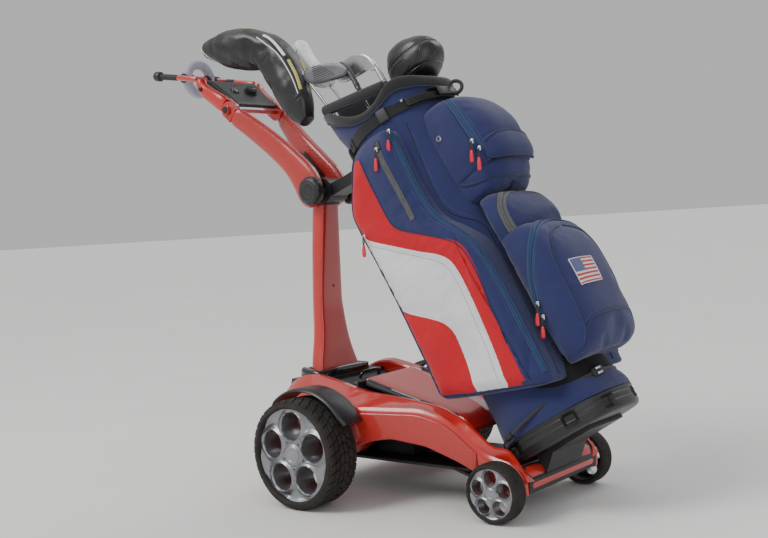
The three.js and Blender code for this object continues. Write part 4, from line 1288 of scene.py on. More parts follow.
def grip_ring():
    """The soft steering ring, with a seam line round its middle and a sleeve where the bar passes."""
    rings = []
    for i in range(64):
        a = 2 * math.pi * i / 64
        ring = []
        for k in range(20):
            b = 2 * math.pi * k / 20
            tube = 12.8 * (1 + 0.03 * max(0, math.cos(a * 2)))
            seam = 1 - (0.09 if k == 0 else 0)
            r = 40 + tube * seam * math.cos(b)
            ring.append(
                cart(
                    GRIP_X + tube * seam * math.sin(b) * 1.1, r * math.sin(a), GRIP_Z + r * math.cos(a)
                )
            )
        rings.append(ring)
    verts, faces = loft(rings, cap=False)
    n = 20
    base = 63 * n
    faces += [(base + k, base + (k + 1) % n, (k + 1) % n, k) for k in range(n)]
    piece = add(
        "grip_ring_skin", (verts, faces), "handle_upper", SOFT, "soft_grip", ["grip_ring"], sub=1
    )
    collars = []
    for side in (-1, 1):
        profile = [(8.4, 24), (11.4, 24.4), (12.6, 26), (12.6, 55), (11.4, 56.6), (8.4, 57)]
        collars.append(lathe_mm(profile, cart(GRIP_X, 0, GRIP_Z), (0, side, 0), 28, closed=True))
    add("grip_ring_sleeves", merge(collars), "handle_upper", DARK_RUBBER, "soft_grip", sharp=35)


grip_ring()


# ---------------------------------------------------------------- soft goods helpers
def coordinates(o):
    """A mesh's vertices as an array."""
    out = np.empty(len(o.data.vertices) * 3)
    o.data.vertices.foreach_get("co", out)
    return out.reshape(-1, 3)


def move_to(o, points):
    """Puts a mesh's vertices at new places."""
    o.data.vertices.foreach_set("co", np.asarray(points, float).ravel())
    o.data.update()


def push_out(piece, shift_at):
    """Moves each vertex along its normal by shift_at(place)."""
    points = coordinates(piece)
    normals = np.array([tuple(v.normal) for v in piece.data.vertices])
    move_to(piece, points + normals * np.array([shift_at(Vector(p)) for p in points])[:, None])


def puff(o, hold, cap, slack=-0.012):
    """Lets a skin swell and crease as stuffed cloth; hold is how firmly each vertex is sewn down."""
    pressure, frames = 4.0, 20
    rest = coordinates(o)
    group = o.vertex_groups.new(name="sewn")
    level = np.round(np.asarray(hold), 1)
    for value in np.unique(level[level > 0]):
        group.add([int(i) for i in np.nonzero(level == value)[0]], float(value), "REPLACE")
    cloth = o.modifiers.new("cloth", "CLOTH")
    settings = cloth.settings
    settings.quality, settings.mass = 5, 0.3
    settings.tension_stiffness = settings.compression_stiffness = 15
    settings.bending_stiffness = 0.5
    settings.use_pressure, settings.uniform_pressure_force = True, pressure
    settings.vertex_group_mass, settings.shrink_min = "sewn", slack
    settings.effector_weights.gravity = 0
    cloth.collision_settings.use_collision = False
    cloth.point_cache.frame_start, cloth.point_cache.frame_end = 1, frames
    scene = bpy.context.scene
    for number in range(1, frames + 1):
        scene.frame_set(number)
    swollen = o.evaluated_get(bpy.context.evaluated_depsgraph_get())
    moved = np.array([tuple(v.co) for v in swollen.data.vertices]) - rest
    o.modifiers.remove(cloth)
    o.vertex_groups.clear()
    scene.frame_set(1)
    length = np.maximum(np.linalg.norm(moved, axis=1), 1e-9)
    move_to(o, rest + moved * np.minimum(1, cap / length)[:, None])


def distance_to(points, line):
    """How far each point is from the nearest of a line's points, in the same unit as theirs."""
    line, nearest = np.asarray(line), np.full(len(points), 9000.0)
    for chunk in range(0, len(line), 64):
        part = line[chunk : chunk + 64]
        nearest = np.minimum(nearest, np.linalg.norm(points[:, None] - part[None], axis=2).min(1))
    return nearest


def crease(o, paths, depth, radius):
    """Sinks a skin along seams, given in the row frame."""
    points = coordinates(o)
    normals = np.array([tuple(v.normal) for v in o.data.vertices])
    seams = np.concatenate([smooth_path(p, 0.004) for p in paths])
    sink = depth * np.exp(-((distance_to(points, seams) / radius) ** 2))
    move_to(o, points - normals * sink[:, None])


def bag_path(points, side=-1):
    """Right-hand (t, y, s) points as row-frame points on the asked side."""
    return [bag(t, y if side < 0 else -y, s) for t, y, s in points]


def on_skin(tree, points, step, away=0.0, smooth=3):
    """A smooth path through the points, laid on a skin."""
    return stick(tree, smooth_path(points, step), away, smooth)


def piping(name, tree, points, radius):
    """A round welt sewn on a skin."""
    path, _ = on_skin(tree, points, 0.006, 0.0004)
    add(name, sweep(path, circle(radius, 8)), ROOT, PIPING, "navy_fabric")


# The top and the four sides of a block, whose foot is inside a skin.
OPEN_BLOCK = [(4, 5, 6, 7), (0, 1, 5, 4), (1, 2, 6, 5), (2, 3, 7, 6), (3, 0, 4, 7)]


def stitches(name, tree, points, look=None):
    """A row of single thread stitches lying on a skin."""
    length = 0.0036
    path, normals = on_skin(tree, points, 0.0056, 0.0003)
    parts = []
    for i in range(len(path) - 1):
        a, n = Vector(path[i]), Vector(normals[i])
        along = (Vector(path[i + 1]) - a).normalized() * length
        across = along.cross(n).normalized() * 0.00055
        rise = n * 0.0005
        ends = [a - across, a + across, a + across + along, a - across + along]
        tops = [
            a - across * 0.5 + along * 0.2 + rise, a + across * 0.5 + along * 0.2 + rise,
            a + across * 0.5 + along * 0.8 + rise, a - across * 0.5 + along * 0.8 + rise
        ]
        parts.append((ends + tops, OPEN_BLOCK))
    finish_piece(to_mesh(name, *merge(parts)), ROOT, look or THREAD, "navy_fabric")


def zip_band(name, tree, points, width, tape, teeth):
    """A zip: two tapes with folded edges and a row of teeth between them."""
    path, normals = on_skin(tree, points, 0.006, 0.0004, 5)
    w = width / 2
    section = [
        (-w, -0.0006), (-w, 0.0010), (-w + 0.0012, 0.0016), (-0.0034, 0.0014), (-0.0030, 0.0006),
        (0.0030, 0.0006), (0.0034, 0.0014), (w - 0.0012, 0.0016), (w, 0.0010), (w, -0.0006)
    ]
    add(f"{name}_tape", sweep(path, section, normals), ROOT, tape, "navy_fabric", sharp=50)
    fine, fine_normals = on_skin(tree, points, 0.0016, 0.0008, 5)
    _, sideways, upward = frames_along(fine, fine_normals)
    parts = []
    for i in range(len(fine) - 1):
        shift = 0.0006 if i % 2 else -0.0006
        a = Vector(fine[i]) + Vector(sideways[i]) * shift
        along = (Vector(fine[i + 1]) - Vector(fine[i])) * 0.36
        across, rise = Vector(sideways[i]) * 0.0019, Vector(upward[i]) * 0.0016
        low = [a - across - along, a + across - along, a + across + along, a - across + along]
        parts.append((low + [p + rise for p in low], OPEN_BLOCK))
    finish_piece(to_mesh(f"{name}_teeth", *merge(parts)), ROOT, teeth, "navy_fabric")


# ---------------------------------------------------------------- bag body
def shell_ring(s, inset=0.0):
    """Outline of the bag's body at a height: the tube, with a wider skirt at its foot."""
    f = min(1, max(0, (s - 52) / 66))
    f = f * f * (3 - 2 * f)
    a, b, c = 142.2 + (130.4 - 142.2) * f, 133.2 + (130.4 - 133.2) * f, 11 * (1 - f)
    power = 2.4 - 0.4 * f
    return [(t, y, s) for t, y in superring(a - inset, b - inset, power, 88, c)]


def bag_body():
    """The bag's cloth body with shallow folds, and its lining."""
    levels = [44.6, 48, 54, 62, 72, 84, 96, 108, 120, *range(134, 800, 14), 803]
    rings = [[bag(*p) for p in shell_ring(s)] for s in levels]
    rings.append([bag(*p) for p in shell_ring(803, 3.6)])
    rings.append([bag(*p) for p in shell_ring(760, 3.8)])
    piece = fix_normals(to_mesh("bag_body_skin", *loft(rings, cap=False)))
    push_out(piece, lambda p: 0.0022 * (noise.noise(p * 9) + 0.5 * noise.noise(p * 26)))
    finish_piece(piece, ROOT, NAVY, "navy_fabric", ["bag_tube"])
    inner = [
        [bag(*p) for p in shell_ring(s, 4.4 if s > 400 else 6)]
        for s in (802, 700, 600, 500, 400, 200, 50)
    ]
    lining = to_mesh("bag_lining", *loft(inner, cap=False))
    finish_piece(lining, ROOT, LINING, "navy_fabric")
    return piece


BODY = bag_body()


def bag_base():
    """The moulded foot: ribbed walls, a lip at its top, rounded bottom edge and pressed notches."""
    profile = [
        (0.2, -14), (0.8, -7), (3, -3.2), (8, -0.6), (16, 0), (17.5, 0.9), (20, 0.9), (21.5, 0),
        (29, 0.2), (30.5, 1.1), (33, 1.1), (34.5, 0.3), (39, 0.6), (40.5, 1.8), (43, 1.9), (44.2, 1.0),
        (44.3, -3)
    ]
    sides = 144
    rings = []
    for s, grow in profile:
        ring = []
        for i, (t, y) in enumerate(superring(141 + grow, 132 + grow, 2.4, sides, 11)):
            angle = 360 * i / sides
            near = min(abs((angle - n + 180) % 360 - 180) for n in (20, 62, 118, 180, 242, 298, 340))
            press = 0.945 if near < 6 and 12 < s < 38 else 1
            ring.append(bag(11 + (t - 11) * press, y * press, s))
        rings.append(ring)
    add("bag_base_skin", loft(rings), ROOT, SATIN, "black_plastic", ["bag_base"], sharp=28)


bag_base()


# ---------------------------------------------------------------- side pockets
SIDE_FACE = 168
SIDE_OUTLINE = [
    (-150, 214), (-146, 194), (-126, 182), (-60, 156), (0, 134), (60, 113), (98, 102), (109, 110),
    (112, 190), (113, 300), (109, 385), (101, 436), (82, 478), (62, 512), (52, 548), (49, 600),
    (51, 660), (55, 720), (50, 746), (30, 757), (-20, 763), (-56, 754), (-76, 738), (-104, 698),
    (-128, 664), (-138, 634), (-139, 560), (-139, 400), (-144, 300)
]
RED_EDGE = [
    (-37, 731), (-41, 690), (-43, 640), (-44, 585), (-38, 556), (-22, 537), (20, 500), (70, 456),
    (86, 432), (91, 400), (89, 350), (80, 285), (72, 210), (66, 129)
]
WHITE_TOP = [
    (-131, 585), (-91, 548), (-49, 511), (-8, 475), (24, 449), (44, 424), (51, 395), (51, 350),
    (46, 288), (36, 206), (24, 143)
]
WHITE_LOW = [
    (-132, 402), (-97, 371), (-62, 341), (-42, 320), (-31, 296), (-31, 265), (-39, 213), (-52, 168)
]
SEW_LINE = [
    (-120, 561), (-88, 532), (-48, 496), (-10, 462), (16, 438), (32, 416), (37, 390), (36, 345),
    (31, 288), (21, 208), (9, 146)
]


def smooth_2d(points, step, closed=False):
    """smooth_path() for flat points."""
    return [tuple(p[:2]) for p in smooth_path([(a, b, 0) for a, b in points], step, closed)]


def inside(p, loop):
    """Whether a flat point is inside a loop."""
    hit = False
    for i in range(len(loop)):
        (x0, y0), (x1, y1) = loop[i - 1], loop[i]
        if (y0 > p[1]) != (y1 > p[1]) and p[0] < (x1 - x0) * (p[1] - y0) / (y1 - y0) + x0:
            hit = not hit
    return hit


def inset_loop(loop):
    """The line where a side pocket's navy binding ends, inside its outline."""
    p = np.asarray(loop)
    along = np.roll(p, -1, 0) - np.roll(p, 1, 0)
    along /= np.linalg.norm(along, axis=1)[:, None]
    area = np.sum(p[:, 0] * np.roll(p[:, 1], -1) - np.roll(p[:, 0], -1) * p[:, 1])
    inward = np.stack([-along[:, 1], along[:, 0]], 1) * math.copysign(1, area)
    width = np.interp(p[:, 1], [520, 580], [10, 5])
    return [tuple(q) for q in p + inward * width[:, None]]


def side_pocket():
    """The right-hand pocket's skin: red, white and navy cloth panels on a pillowed face."""
    border = smooth_2d(SIDE_OUTLINE, 7, closed=True)
    hem = inset_loop(border)
    lines = [smooth_2d(line, 6) for line in (RED_EDGE, WHITE_TOP, WHITE_LOW)]
    points, edges = [Vector(p) for p in border], []
    edges += [(i, (i + 1) % len(border)) for i in range(len(border))]
    taken = [np.asarray(border)]
    bound = [p for p in hem if p[0] < 80]
    for line in [*lines, bound]:
        line = [p for p in line if inside(p, border)]
        base = len(points)
        points += [Vector(p) for p in line]
        edges += [(base + i, base + i + 1) for i in range(len(line) - 1)]
        taken.append(np.asarray(line))
    taken = np.concatenate(taken)
    step = 7.0
    fill = []
    for row in range(int(700 / step)):
        for column in range(int(290 / step)):
            p = (-160 + (column + 0.5 * (row % 2)) * step, 95 + row * step * 0.87)
            if inside(p, border):
                fill.append(p)
    fill = np.array(fill)
    fill = fill[distance_to(fill, taken) > 3.6]
    points += [Vector(p) for p in fill]
    flat, _, faces, *_ = delaunay_2d_cdt(points, edges, [], 1, 1e-6)
    red = smooth_2d(RED_EDGE, 6) + [
        (30, 128), (-60, 152), (-136, 188), (-170, 300), (-170, 640), (-110, 700), (-70, 742)
    ]
    white = smooth_2d(WHITE_TOP, 6) + [(0, 120), (-60, 120)] + smooth_2d(WHITE_LOW, 6)[::-1] + [
        (-170, 410), (-170, 585)
    ]
    looks = []
    for face in faces:
        middle = sum((flat[i] for i in face), Vector((0, 0))) / len(face)
        p = (middle.x, middle.y)
        kind = 0
        if inside(p, red) and inside(p, hem):
            kind = 2 if inside(p, white) else 1
        looks.append(kind)
    height = np.minimum(distance_to(np.array([tuple(p) for p in flat]), border) / 36, 1)
    verts = [bag(p.x, -(146 + 23.5 * (1 - (1 - h) ** 2.3)), p.y) for p, h in zip(flat, height)]
    count = len(verts)
    rim = [
        min(range(count), key=lambda i: (flat[i].x - q[0]) ** 2 + (flat[i].y - q[1]) ** 2)
        for q in border
    ]
    for depth in (132, 112, 84, 50):
        verts += [bag(q[0], -depth, q[1]) for q in border]
    n = len(border)
    rows = [rim] + [list(range(count + k * n, count + (k + 1) * n)) for k in range(4)]
    faces = [tuple(f) for f in faces]
    for upper, lower in zip(rows, rows[1:]):
        faces += [(upper[i], upper[(i + 1) % n], lower[(i + 1) % n], lower[i]) for i in range(n)]
        looks += [0] * n
    piece = to_mesh("side_pocket_skin_right", verts, faces)
    for material in (NAVY, RED_CLOTH, WHITE_CLOTH):
        piece.data.materials.append(material.material)
    piece.data.polygons.foreach_set("material_index", looks)
    fix_normals(piece)
    points = coordinates(piece)
    seams = [
        smooth_path([bag(t, -SIDE_FACE, s) for t, s in line], 0.006)
        for line in (RED_EDGE, WHITE_TOP, WHITE_LOW, SEW_LINE)
    ]
    seams = np.concatenate(seams)
    hold = np.clip(1.05 - distance_to(points, seams) / 0.018, 0, 0.7)
    hold[np.abs(points[:, 1]) < 0.1475] = 1.0
    puff(piece, hold, 0.007)
    crease(
        piece, [[bag(t, -SIDE_FACE, s) for t, s in line] for line in (RED_EDGE, WHITE_TOP, WHITE_LOW)],
        0.0016, 0.006
    )
    crease(piece, [[bag(t, -SIDE_FACE, s) for t, s in SEW_LINE]], 0.0010, 0.004)
    piece.data.polygons.foreach_set("use_smooth", [True] * len(piece.data.polygons))
    return piece


def mirrored_copy(piece, name):
    """A piece's mesh again, on the other side."""
    mesh = piece.data.copy()
    o = bpy.data.objects.new(name, mesh)
    bpy.context.scene.collection.objects.link(o)
    move_to(o, coordinates(o) * (1, -1, 1))
    bm = bmesh.new()
    bm.from_mesh(mesh)
    bmesh.ops.reverse_faces(bm, faces=bm.faces)
    bm.to_mesh(mesh)
    bm.free()
    return o


SIDE_SKIN = {"right": side_pocket()}
SIDE_SKIN["left"] = mirrored_copy(SIDE_SKIN["right"], "side_pocket_skin_left")
for _word, _side in SIDES:
    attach(SIDE_SKIN[_word], ROOT)
    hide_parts(f"side_pocket_{_word}")

S_ZIP = [
    (60, -150, 744), (54, -150, 700), (51, -150, 658), (47, -149, 604), (49, -149, 552),
    (60, -150, 516), (84, -150, 482), (104, -151, 452), (114, -151, 418), (117, -151, 386),
    (114, -150, 298), (110, -150, 200), (105, -148, 124)
]
MIDDLE_SEAM = [
    (75, -106, 754), (71, -108, 721), (67, -111, 679), (63, -113, 635), (60, -115, 586),
    (61, -115, 546), (70, -109, 517), (85, -98, 496), (98, -85, 482), (104, -78, 461), (105, -76, 440),
    (105, -80, 403), (108, -88, 362), (109, -98, 289), (108, -106, 189), (106, -112, 112)
]
for _word, _side in SIDES:
    _tree = tree_of(SIDE_SKIN[_word])
    _both = tree_of(SIDE_SKIN[_word], BODY)

    def _face(line, side=_side):
        return [bag(t, side * (SIDE_FACE + 3), s) for t, s in line]

    zip_band(f"side_zip_{_word}", _tree, bag_path(S_ZIP, _side), 0.013, ZIP_BLUE, TEETH_BLUE)
    for _n, _shift in enumerate((-13, 12)):
        _line = [
            (t + _shift * 0.86, y - 4 if _shift < 0 else y + 10, s + _shift * 0.4)
            for t, y, s in S_ZIP[:-1]
        ]
        stitches(f"side_zip_stitch_{_n}_{_word}", _tree, bag_path(_line, _side))
    zip_band(
        f"side_grey_zip_{_word}", _tree, _face([(18, 722), (17, 672), (17, 600), (17, 540)]), 0.013,
        ZIP_GREY, TEETH_GREY
    )
    piping(f"side_red_edge_{_word}", _tree, _face(RED_EDGE[:-1]), 0.0013)
    stitches(
        f"white_stitch_edge_{_word}", _tree, _face([(t - 3, s - 5) for t, s in WHITE_TOP[1:-1]]),
        WHITE_THREAD
    )
    stitches(f"white_stitch_inner_{_word}", _tree, _face(SEW_LINE), THREAD)
    stitches(
        f"white_stitch_low_{_word}", _tree, _face([(t + 2, s + 5) for t, s in WHITE_LOW[1:-1]]),
        WHITE_THREAD
    )
    piping(
        f"side_rear_binding_{_word}", _tree,
        [
            bag(t, _side * y, s)
            for t, y, s in (
                (-56, 158, 752), (-80, 158, 730), (-112, 158, 684), (-136, 157, 636), (-138, 158, 560),
                (-138, 158, 400), (-144, 158, 300), (-149, 157, 214), (-141, 158, 192),
                (-110, 158, 176), (-60, 158, 157), (0, 158, 135), (60, 158, 115), (98, 154, 104)
            )
        ], 0.0022
    )
    piping(f"middle_seam_{_word}", _both, bag_path(MIDDLE_SEAM, _side), 0.0019)
    stitches(
        f"middle_stitch_{_word}", _both,
        bag_path([(t + 7, y + 3, s + 3) for t, y, s in MIDDLE_SEAM[1:-1]], _side)
    )
    _garage = smooth_path([bag(17, _side * (SIDE_FACE + 3), s) for s in (716, 724, 733, 742)], 0.004)
    _path, _normals = stick(_tree, _garage, 0.0008)
    _flap = sweep(
        _path,
        [
            (-0.0085, -0.001), (-0.0085, 0.0012), (-0.006, 0.0030), (0.006, 0.0030), (0.0085, 0.0012),
            (0.0085, -0.001)
        ], _normals
    )
    add(f"zip_garage_{_word}", _flap, ROOT, BLACK, "black_plastic", bevel=0.0007, sharp=40)


# ---------------------------------------------------------------- front pockets
class Pocket:
    """A lofted pocket: stations up the bag with the reach of its front and its half width."""

    def __init__(self, stations, back, power=3.0):
        table = smooth_path([(s, f, h) for s, f, h in stations], 4)
        self.s, self.front, self.half = table[:, 0], table[:, 1], table[:, 2]
        self.back, self.power = back, power

    def ring(self, s, sides, shrink=0.0):
        front = float(np.interp(s, self.s, self.front)) - shrink
        half = float(np.interp(s, self.s, self.half)) - shrink
        centre = (front + self.back) / 2
        return [(t, y, s) for t, y in superring(front - centre, half, self.power, sides, centre)]

    def skin(self, name, sides=72, step=8.0):
        s0, s1 = self.s[0], self.s[-1]
        levels = np.linspace(s0, s1, int((s1 - s0) / step) + 2)
        rings = [
            [bag(*p) for p in self.ring(s0 + e, sides, k)] for e, k in ((1.5, 40), (0.4, 18), (0.8, 5))
        ]
        rings += [
            [bag(*p) for p in self.ring(s, sides, 1.2 if i in (0, len(levels) - 1) else 0)]
            for i, s in enumerate(levels)
        ]
        rings += [
            [bag(*p) for p in self.ring(s1 - e, sides, k)] for e, k in ((0.2, 5), (0.0, 18), (0.6, 40))
        ]
        return fix_normals(to_mesh(name, *loft(rings)))


BALL = Pocket(
    [
        (121, 194, 91), (128, 206, 101), (140, 215, 107), (166, 222, 112), (232, 229, 116),
        (298, 234, 116), (352, 231, 113), (392, 216, 106), (412, 201, 98)
    ], 112.6
)
YOKE = Pocket([(404, 194, 98), (440, 198, 103), (476, 190, 100), (500, 176, 94), (510, 160, 84)], 112.6)
UPPER = Pocket(
    [
        (566, 214, 89), (576, 224, 91), (596, 229, 93), (630, 230, 94), (664, 228, 93), (700, 215, 90),
        (730, 197, 84), (748, 176, 77), (755, 156, 68)
    ], 62
)
UPPER_FOOT = Pocket(
    [(518, 172, 80), (528, 186, 84), (545, 200, 87), (562, 209, 88), (572, 210, 86)], 62
)


def soft_pocket(name, pocket, seams, cap, replaces=(), depth=0.0018, radius=0.007, slack=-0.012):
    piece = pocket.skin(name)
    points = coordinates(piece)
    lines = np.concatenate([
        smooth_path(bag_path(line, side), 0.005) for line in seams for side in (-1, 1)
    ])
    hold = np.clip(1.1 - distance_to(points, lines) / 0.016, 0, 0.9)
    local = points - np.array(tuple(bag(0, 0, 0)))
    t = (local[:, 0] * math.cos(LEAN) + local[:, 2] * math.sin(LEAN)) * 1000
    hold[np.hypot(t, points[:, 1] * 1000) < 139] = 1.0
    puff(piece, hold, cap, slack=slack)
    crease(piece, [bag_path(line, side) for line in seams for side in (-1, 1)], depth, radius)
    finish_piece(piece, ROOT, NAVY, "navy_fabric", replaces, sub=1)
    return piece


BALL_ZIP = [
    (203, 40, 424), (204, 0, 421), (206, -36, 412), (210, -72, 398), (209, -96, 382), (200, -108, 363),
    (184, -112, 338), (168, -113, 310), (152, -112, 272), (138, -110, 236), (126, -106, 190),
    (118, -98, 140)
]
BALL_SEAM = [
    (225, 25, 384), (223, -7, 388), (228, -59, 373), (230, -88, 338), (228, -100, 290),
    (227, -104, 230), (224, -105, 182), (217, -106, 150), (196, -106, 128), (170, -104, 116)
]
BALL_FLAP = [
    (219, -106, 160), (232, -92, 170), (240, -68, 174), (245, -34, 175), (246, 0, 175), (246, 12, 175)
]
DOME_ZIP = [
    (166, 18, 520), (165, -8, 518), (172, -44, 506), (175, -74, 492), (173, -94, 470), (171, -100, 440),
    (172, -103, 414), (178, -106, 392)
]
UPPER_ZIP = [
    (168, -62, 748), (178, -76, 730), (185, -84, 704), (189, -88, 676), (192, -90, 648),
    (194, -90, 618), (196, -89, 594)
]
UPPER_BACK = [
    (92, -92, 752), (93, -93, 724), (93, -93, 689), (94, -93, 652), (95, -92, 613), (99, -91, 585)
]
FLAP_ARC = [(205, -82, 606), (216, -70, 613), (226, -48, 618), (230, -20, 621), (231, 0, 622)]

BALL_SKIN = soft_pocket(
    "ball_pocket_skin", BALL, [BALL_ZIP, BALL_SEAM, BALL_FLAP], 0.006, ["ball_pocket"]
)
YOKE_SKIN = soft_pocket("dome_pocket_skin", YOKE, [DOME_ZIP], 0.005)
UPPER_SKIN = soft_pocket(
    "upper_pocket_skin", UPPER, [UPPER_ZIP, UPPER_BACK, FLAP_ARC], 0.006, ["upper_pocket"]
)
FOOT_SKIN = soft_pocket(
    "upper_pocket_foot", UPPER_FOOT, [[(120, -88, 558), (150, -87, 545), (190, -60, 536)]], 0.003
)
FRONT_TREE = tree_of(BALL_SKIN, YOKE_SKIN, UPPER_SKIN, FOOT_SKIN, BODY)
BALL_TREE, UPPER_TREE = tree_of(BALL_SKIN), tree_of(UPPER_SKIN)
YOKE_TREE, FOOT_TREE = tree_of(YOKE_SKIN), tree_of(FOOT_SKIN)


def offset_line(points, dt, dy, ds):
    """Bag points, all shifted alike."""
    return [(t + dt, y + dy, s + ds) for t, y, s in points]


def front_details():
    """Zips, piping and stitches of the front pockets, on both sides."""
    for word, side in SIDES:
        zip_band(
            f"ball_zip_{word}", BALL_TREE, bag_path(BALL_ZIP[1:], side), 0.018, ZIP_BLUE, TEETH_BLUE
        )
        for n, shift in enumerate((-13, 13)):
            line = offset_line(BALL_ZIP[2:-1], shift, -2, shift * 0.3)
            stitches(f"ball_zip_stitch_{n}_{word}", BALL_TREE, bag_path(line, side))
        piping(f"ball_seam_{word}", BALL_TREE, bag_path(BALL_SEAM[1:], side), 0.0020)
        stitches(
            f"ball_stitch_{word}", BALL_TREE, bag_path(offset_line(BALL_SEAM[1:-1], -6, -3, 6), side)
        )
        piping(f"ball_flap_seam_{word}", BALL_TREE, bag_path(BALL_FLAP, side), 0.0022)
        stitches(
            f"ball_flap_stitch_{word}", BALL_TREE, bag_path(offset_line(BALL_FLAP[:-1], 0, 0, 7), side)
        )
        zip_band(
            f"dome_zip_{word}", YOKE_TREE, bag_path(DOME_ZIP[1:], side), 0.020, ZIP_GREY, TEETH_GREY
        )
        piping(
            f"dome_edge_{word}", YOKE_TREE, bag_path(offset_line(DOME_ZIP[1:], -9, 0, 7), side), 0.0017
        )
        zip_band(
            f"upper_zip_{word}", UPPER_TREE, bag_path(UPPER_ZIP, side), 0.016, ZIP_BLUE, TEETH_BLUE
        )
        piping(
            f"upper_edge_{word}", UPPER_TREE, bag_path(offset_line(UPPER_ZIP, -13, 0, 2), side), 0.0017
        )
        stitches(
            f"upper_stitch_{word}", UPPER_TREE, bag_path(offset_line(UPPER_ZIP[1:], 13, 3, -1), side)
        )
        foot = [
            (95, -92, 600), (100, -90, 575), (116, -89, 556), (141, -88, 545), (165, -84, 539),
            (182, -70, 535), (190, -35, 532), (192, 0, 531)
        ]
        piping(f"upper_foot_piping_{word}", FOOT_TREE, bag_path(foot, side), 0.0030)
        seam = [
            (122, -52, 760), (118, -60, 700), (112, -68, 640), (110, -74, 590), (112, -72, 540),
            (118, -62, 516)
        ]
        stitches(f"chest_stitch_{word}", FRONT_TREE, bag_path(seam, side))


front_details()


def upper_flap():
    """The short flap over the foot of the upper pocket, open along its lower edge."""
    outer, inner = [], []
    columns = 36
    for i in range(columns + 1):
        v = -1 + 2 * i / columns
        y = 84 * math.sin(v * math.pi / 2)
        arc = 606 + 16 * math.sqrt(max(0, 1 - v * v))
        hem = 577 - 13 * (1 - abs(v) ** 3)
        column = []
        for k in range(9):
            f = k / 8
            s = hem + (arc - hem) * f
            front = float(np.interp(s, UPPER.s, UPPER.front))
            half = float(np.interp(s, UPPER.s, UPPER.half)) + 1
            centre = (front + 62) / 2
            t = centre + (front - centre) * (1 - min(1, abs(y) / half) ** 3.0) ** (1 / 3.0)
            lift = 7.5 * (1 - f) ** 0.6 + 1.6
            column.append((
                t + lift * (0.5 + 0.5 * math.cos(v * math.pi / 2)), y * (1 + 0.02 * (1 - f)), s
            ))
        outer.append([bag(*p) for p in column])
        inner.append([bag(t - 4.2, y * 0.97, s) for t, y, s in column])
    rings = [o + list(reversed(i)) for o, i in zip(outer, inner)]
    piece = add("upper_pocket_flap", loft(rings), ROOT, NAVY, "navy_fabric", sub=1)
    tree = tree_of(piece)
    for word, side in SIDES:
        piping(f"flap_arc_{word}", tree, bag_path(offset_line(FLAP_ARC, 3, 0, 0), side), 0.0020)
        stitches(f"flap_stitch_{word}", tree, bag_path(offset_line(FLAP_ARC[1:], 6, 0, -8), side))
    edge = smooth_path([ring[0] for ring in outer], 0.006)
    add("flap_hem", sweep(edge, circle(0.0022, 8)), ROOT, PIPING, "navy_fabric")


upper_flap()


def surface_point(tree, t, y, s, away=0.0):
    """The skin's point nearest a bag point, and its normal."""
    place, normal, _, _ = tree.find_nearest(bag(t, y, s))
    return place + normal * away, normal


def striped_patch():
    """A sewn patch of plain stripes with a blue corner, on the ball pocket."""
    columns, rows = 20, 26
    corners = [
        Vector((242, -74, 300)), Vector((248, 6, 298)), Vector((247, 4, 243)), Vector((242, -74, 242))
    ]
    verts, faces, looks = [], [], []
    for level in (0.0011, -0.002):
        for r in range(rows + 1):
            for c in range(columns + 1):
                u, v = c / columns, r / rows
                top = corners[0].lerp(corners[1], u)
                low = corners[3].lerp(corners[2], u)
                verts.append(surface_point(BALL_TREE, *top.lerp(low, v), level)[0])
    width = columns + 1
    for r in range(rows):
        for c in range(columns):
            a = r * width + c
            faces.append((a, a + 1, a + 1 + width, a + width))
            stripe = (r // 2) % 2
            looks.append(2 if c < 9 and r < 14 else (0 if stripe else 1))
    base = (rows + 1) * width
    border = [
        *range(columns), *[r * width + columns for r in range(rows)],
        *[rows * width + c for c in range(columns, 0, -1)], *[r * width for r in range(rows, 0, -1)]
    ]
    for i, a in enumerate(border):
        b = border[(i + 1) % len(border)]
        faces.append((a, b, b + base, a + base))
        looks.append(0)
    piece = to_mesh("striped_patch", verts, faces)
    for look in (PATCH_WHITE, PATCH_RED, PATCH_BLUE):
        piece.data.materials.append(look.material)
    piece.data.polygons.foreach_set("material_index", looks)
    fix_normals(piece)
    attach(piece, ROOT)
    loop = [tuple(c) for c in corners]
    edge = []
    for i in range(4):
        a, b = Vector(loop[i]), Vector(loop[(i + 1) % 4])
        edge += [bag(*a.lerp(b, k / 8)) for k in range(8)]
    path, _ = stick(BALL_TREE, edge + [edge[0]], 0.0008, 0)
    add("patch_edge", sweep(path, circle(0.0011, 6)), ROOT, PATCH_WHITE, "cover_white")


striped_patch()


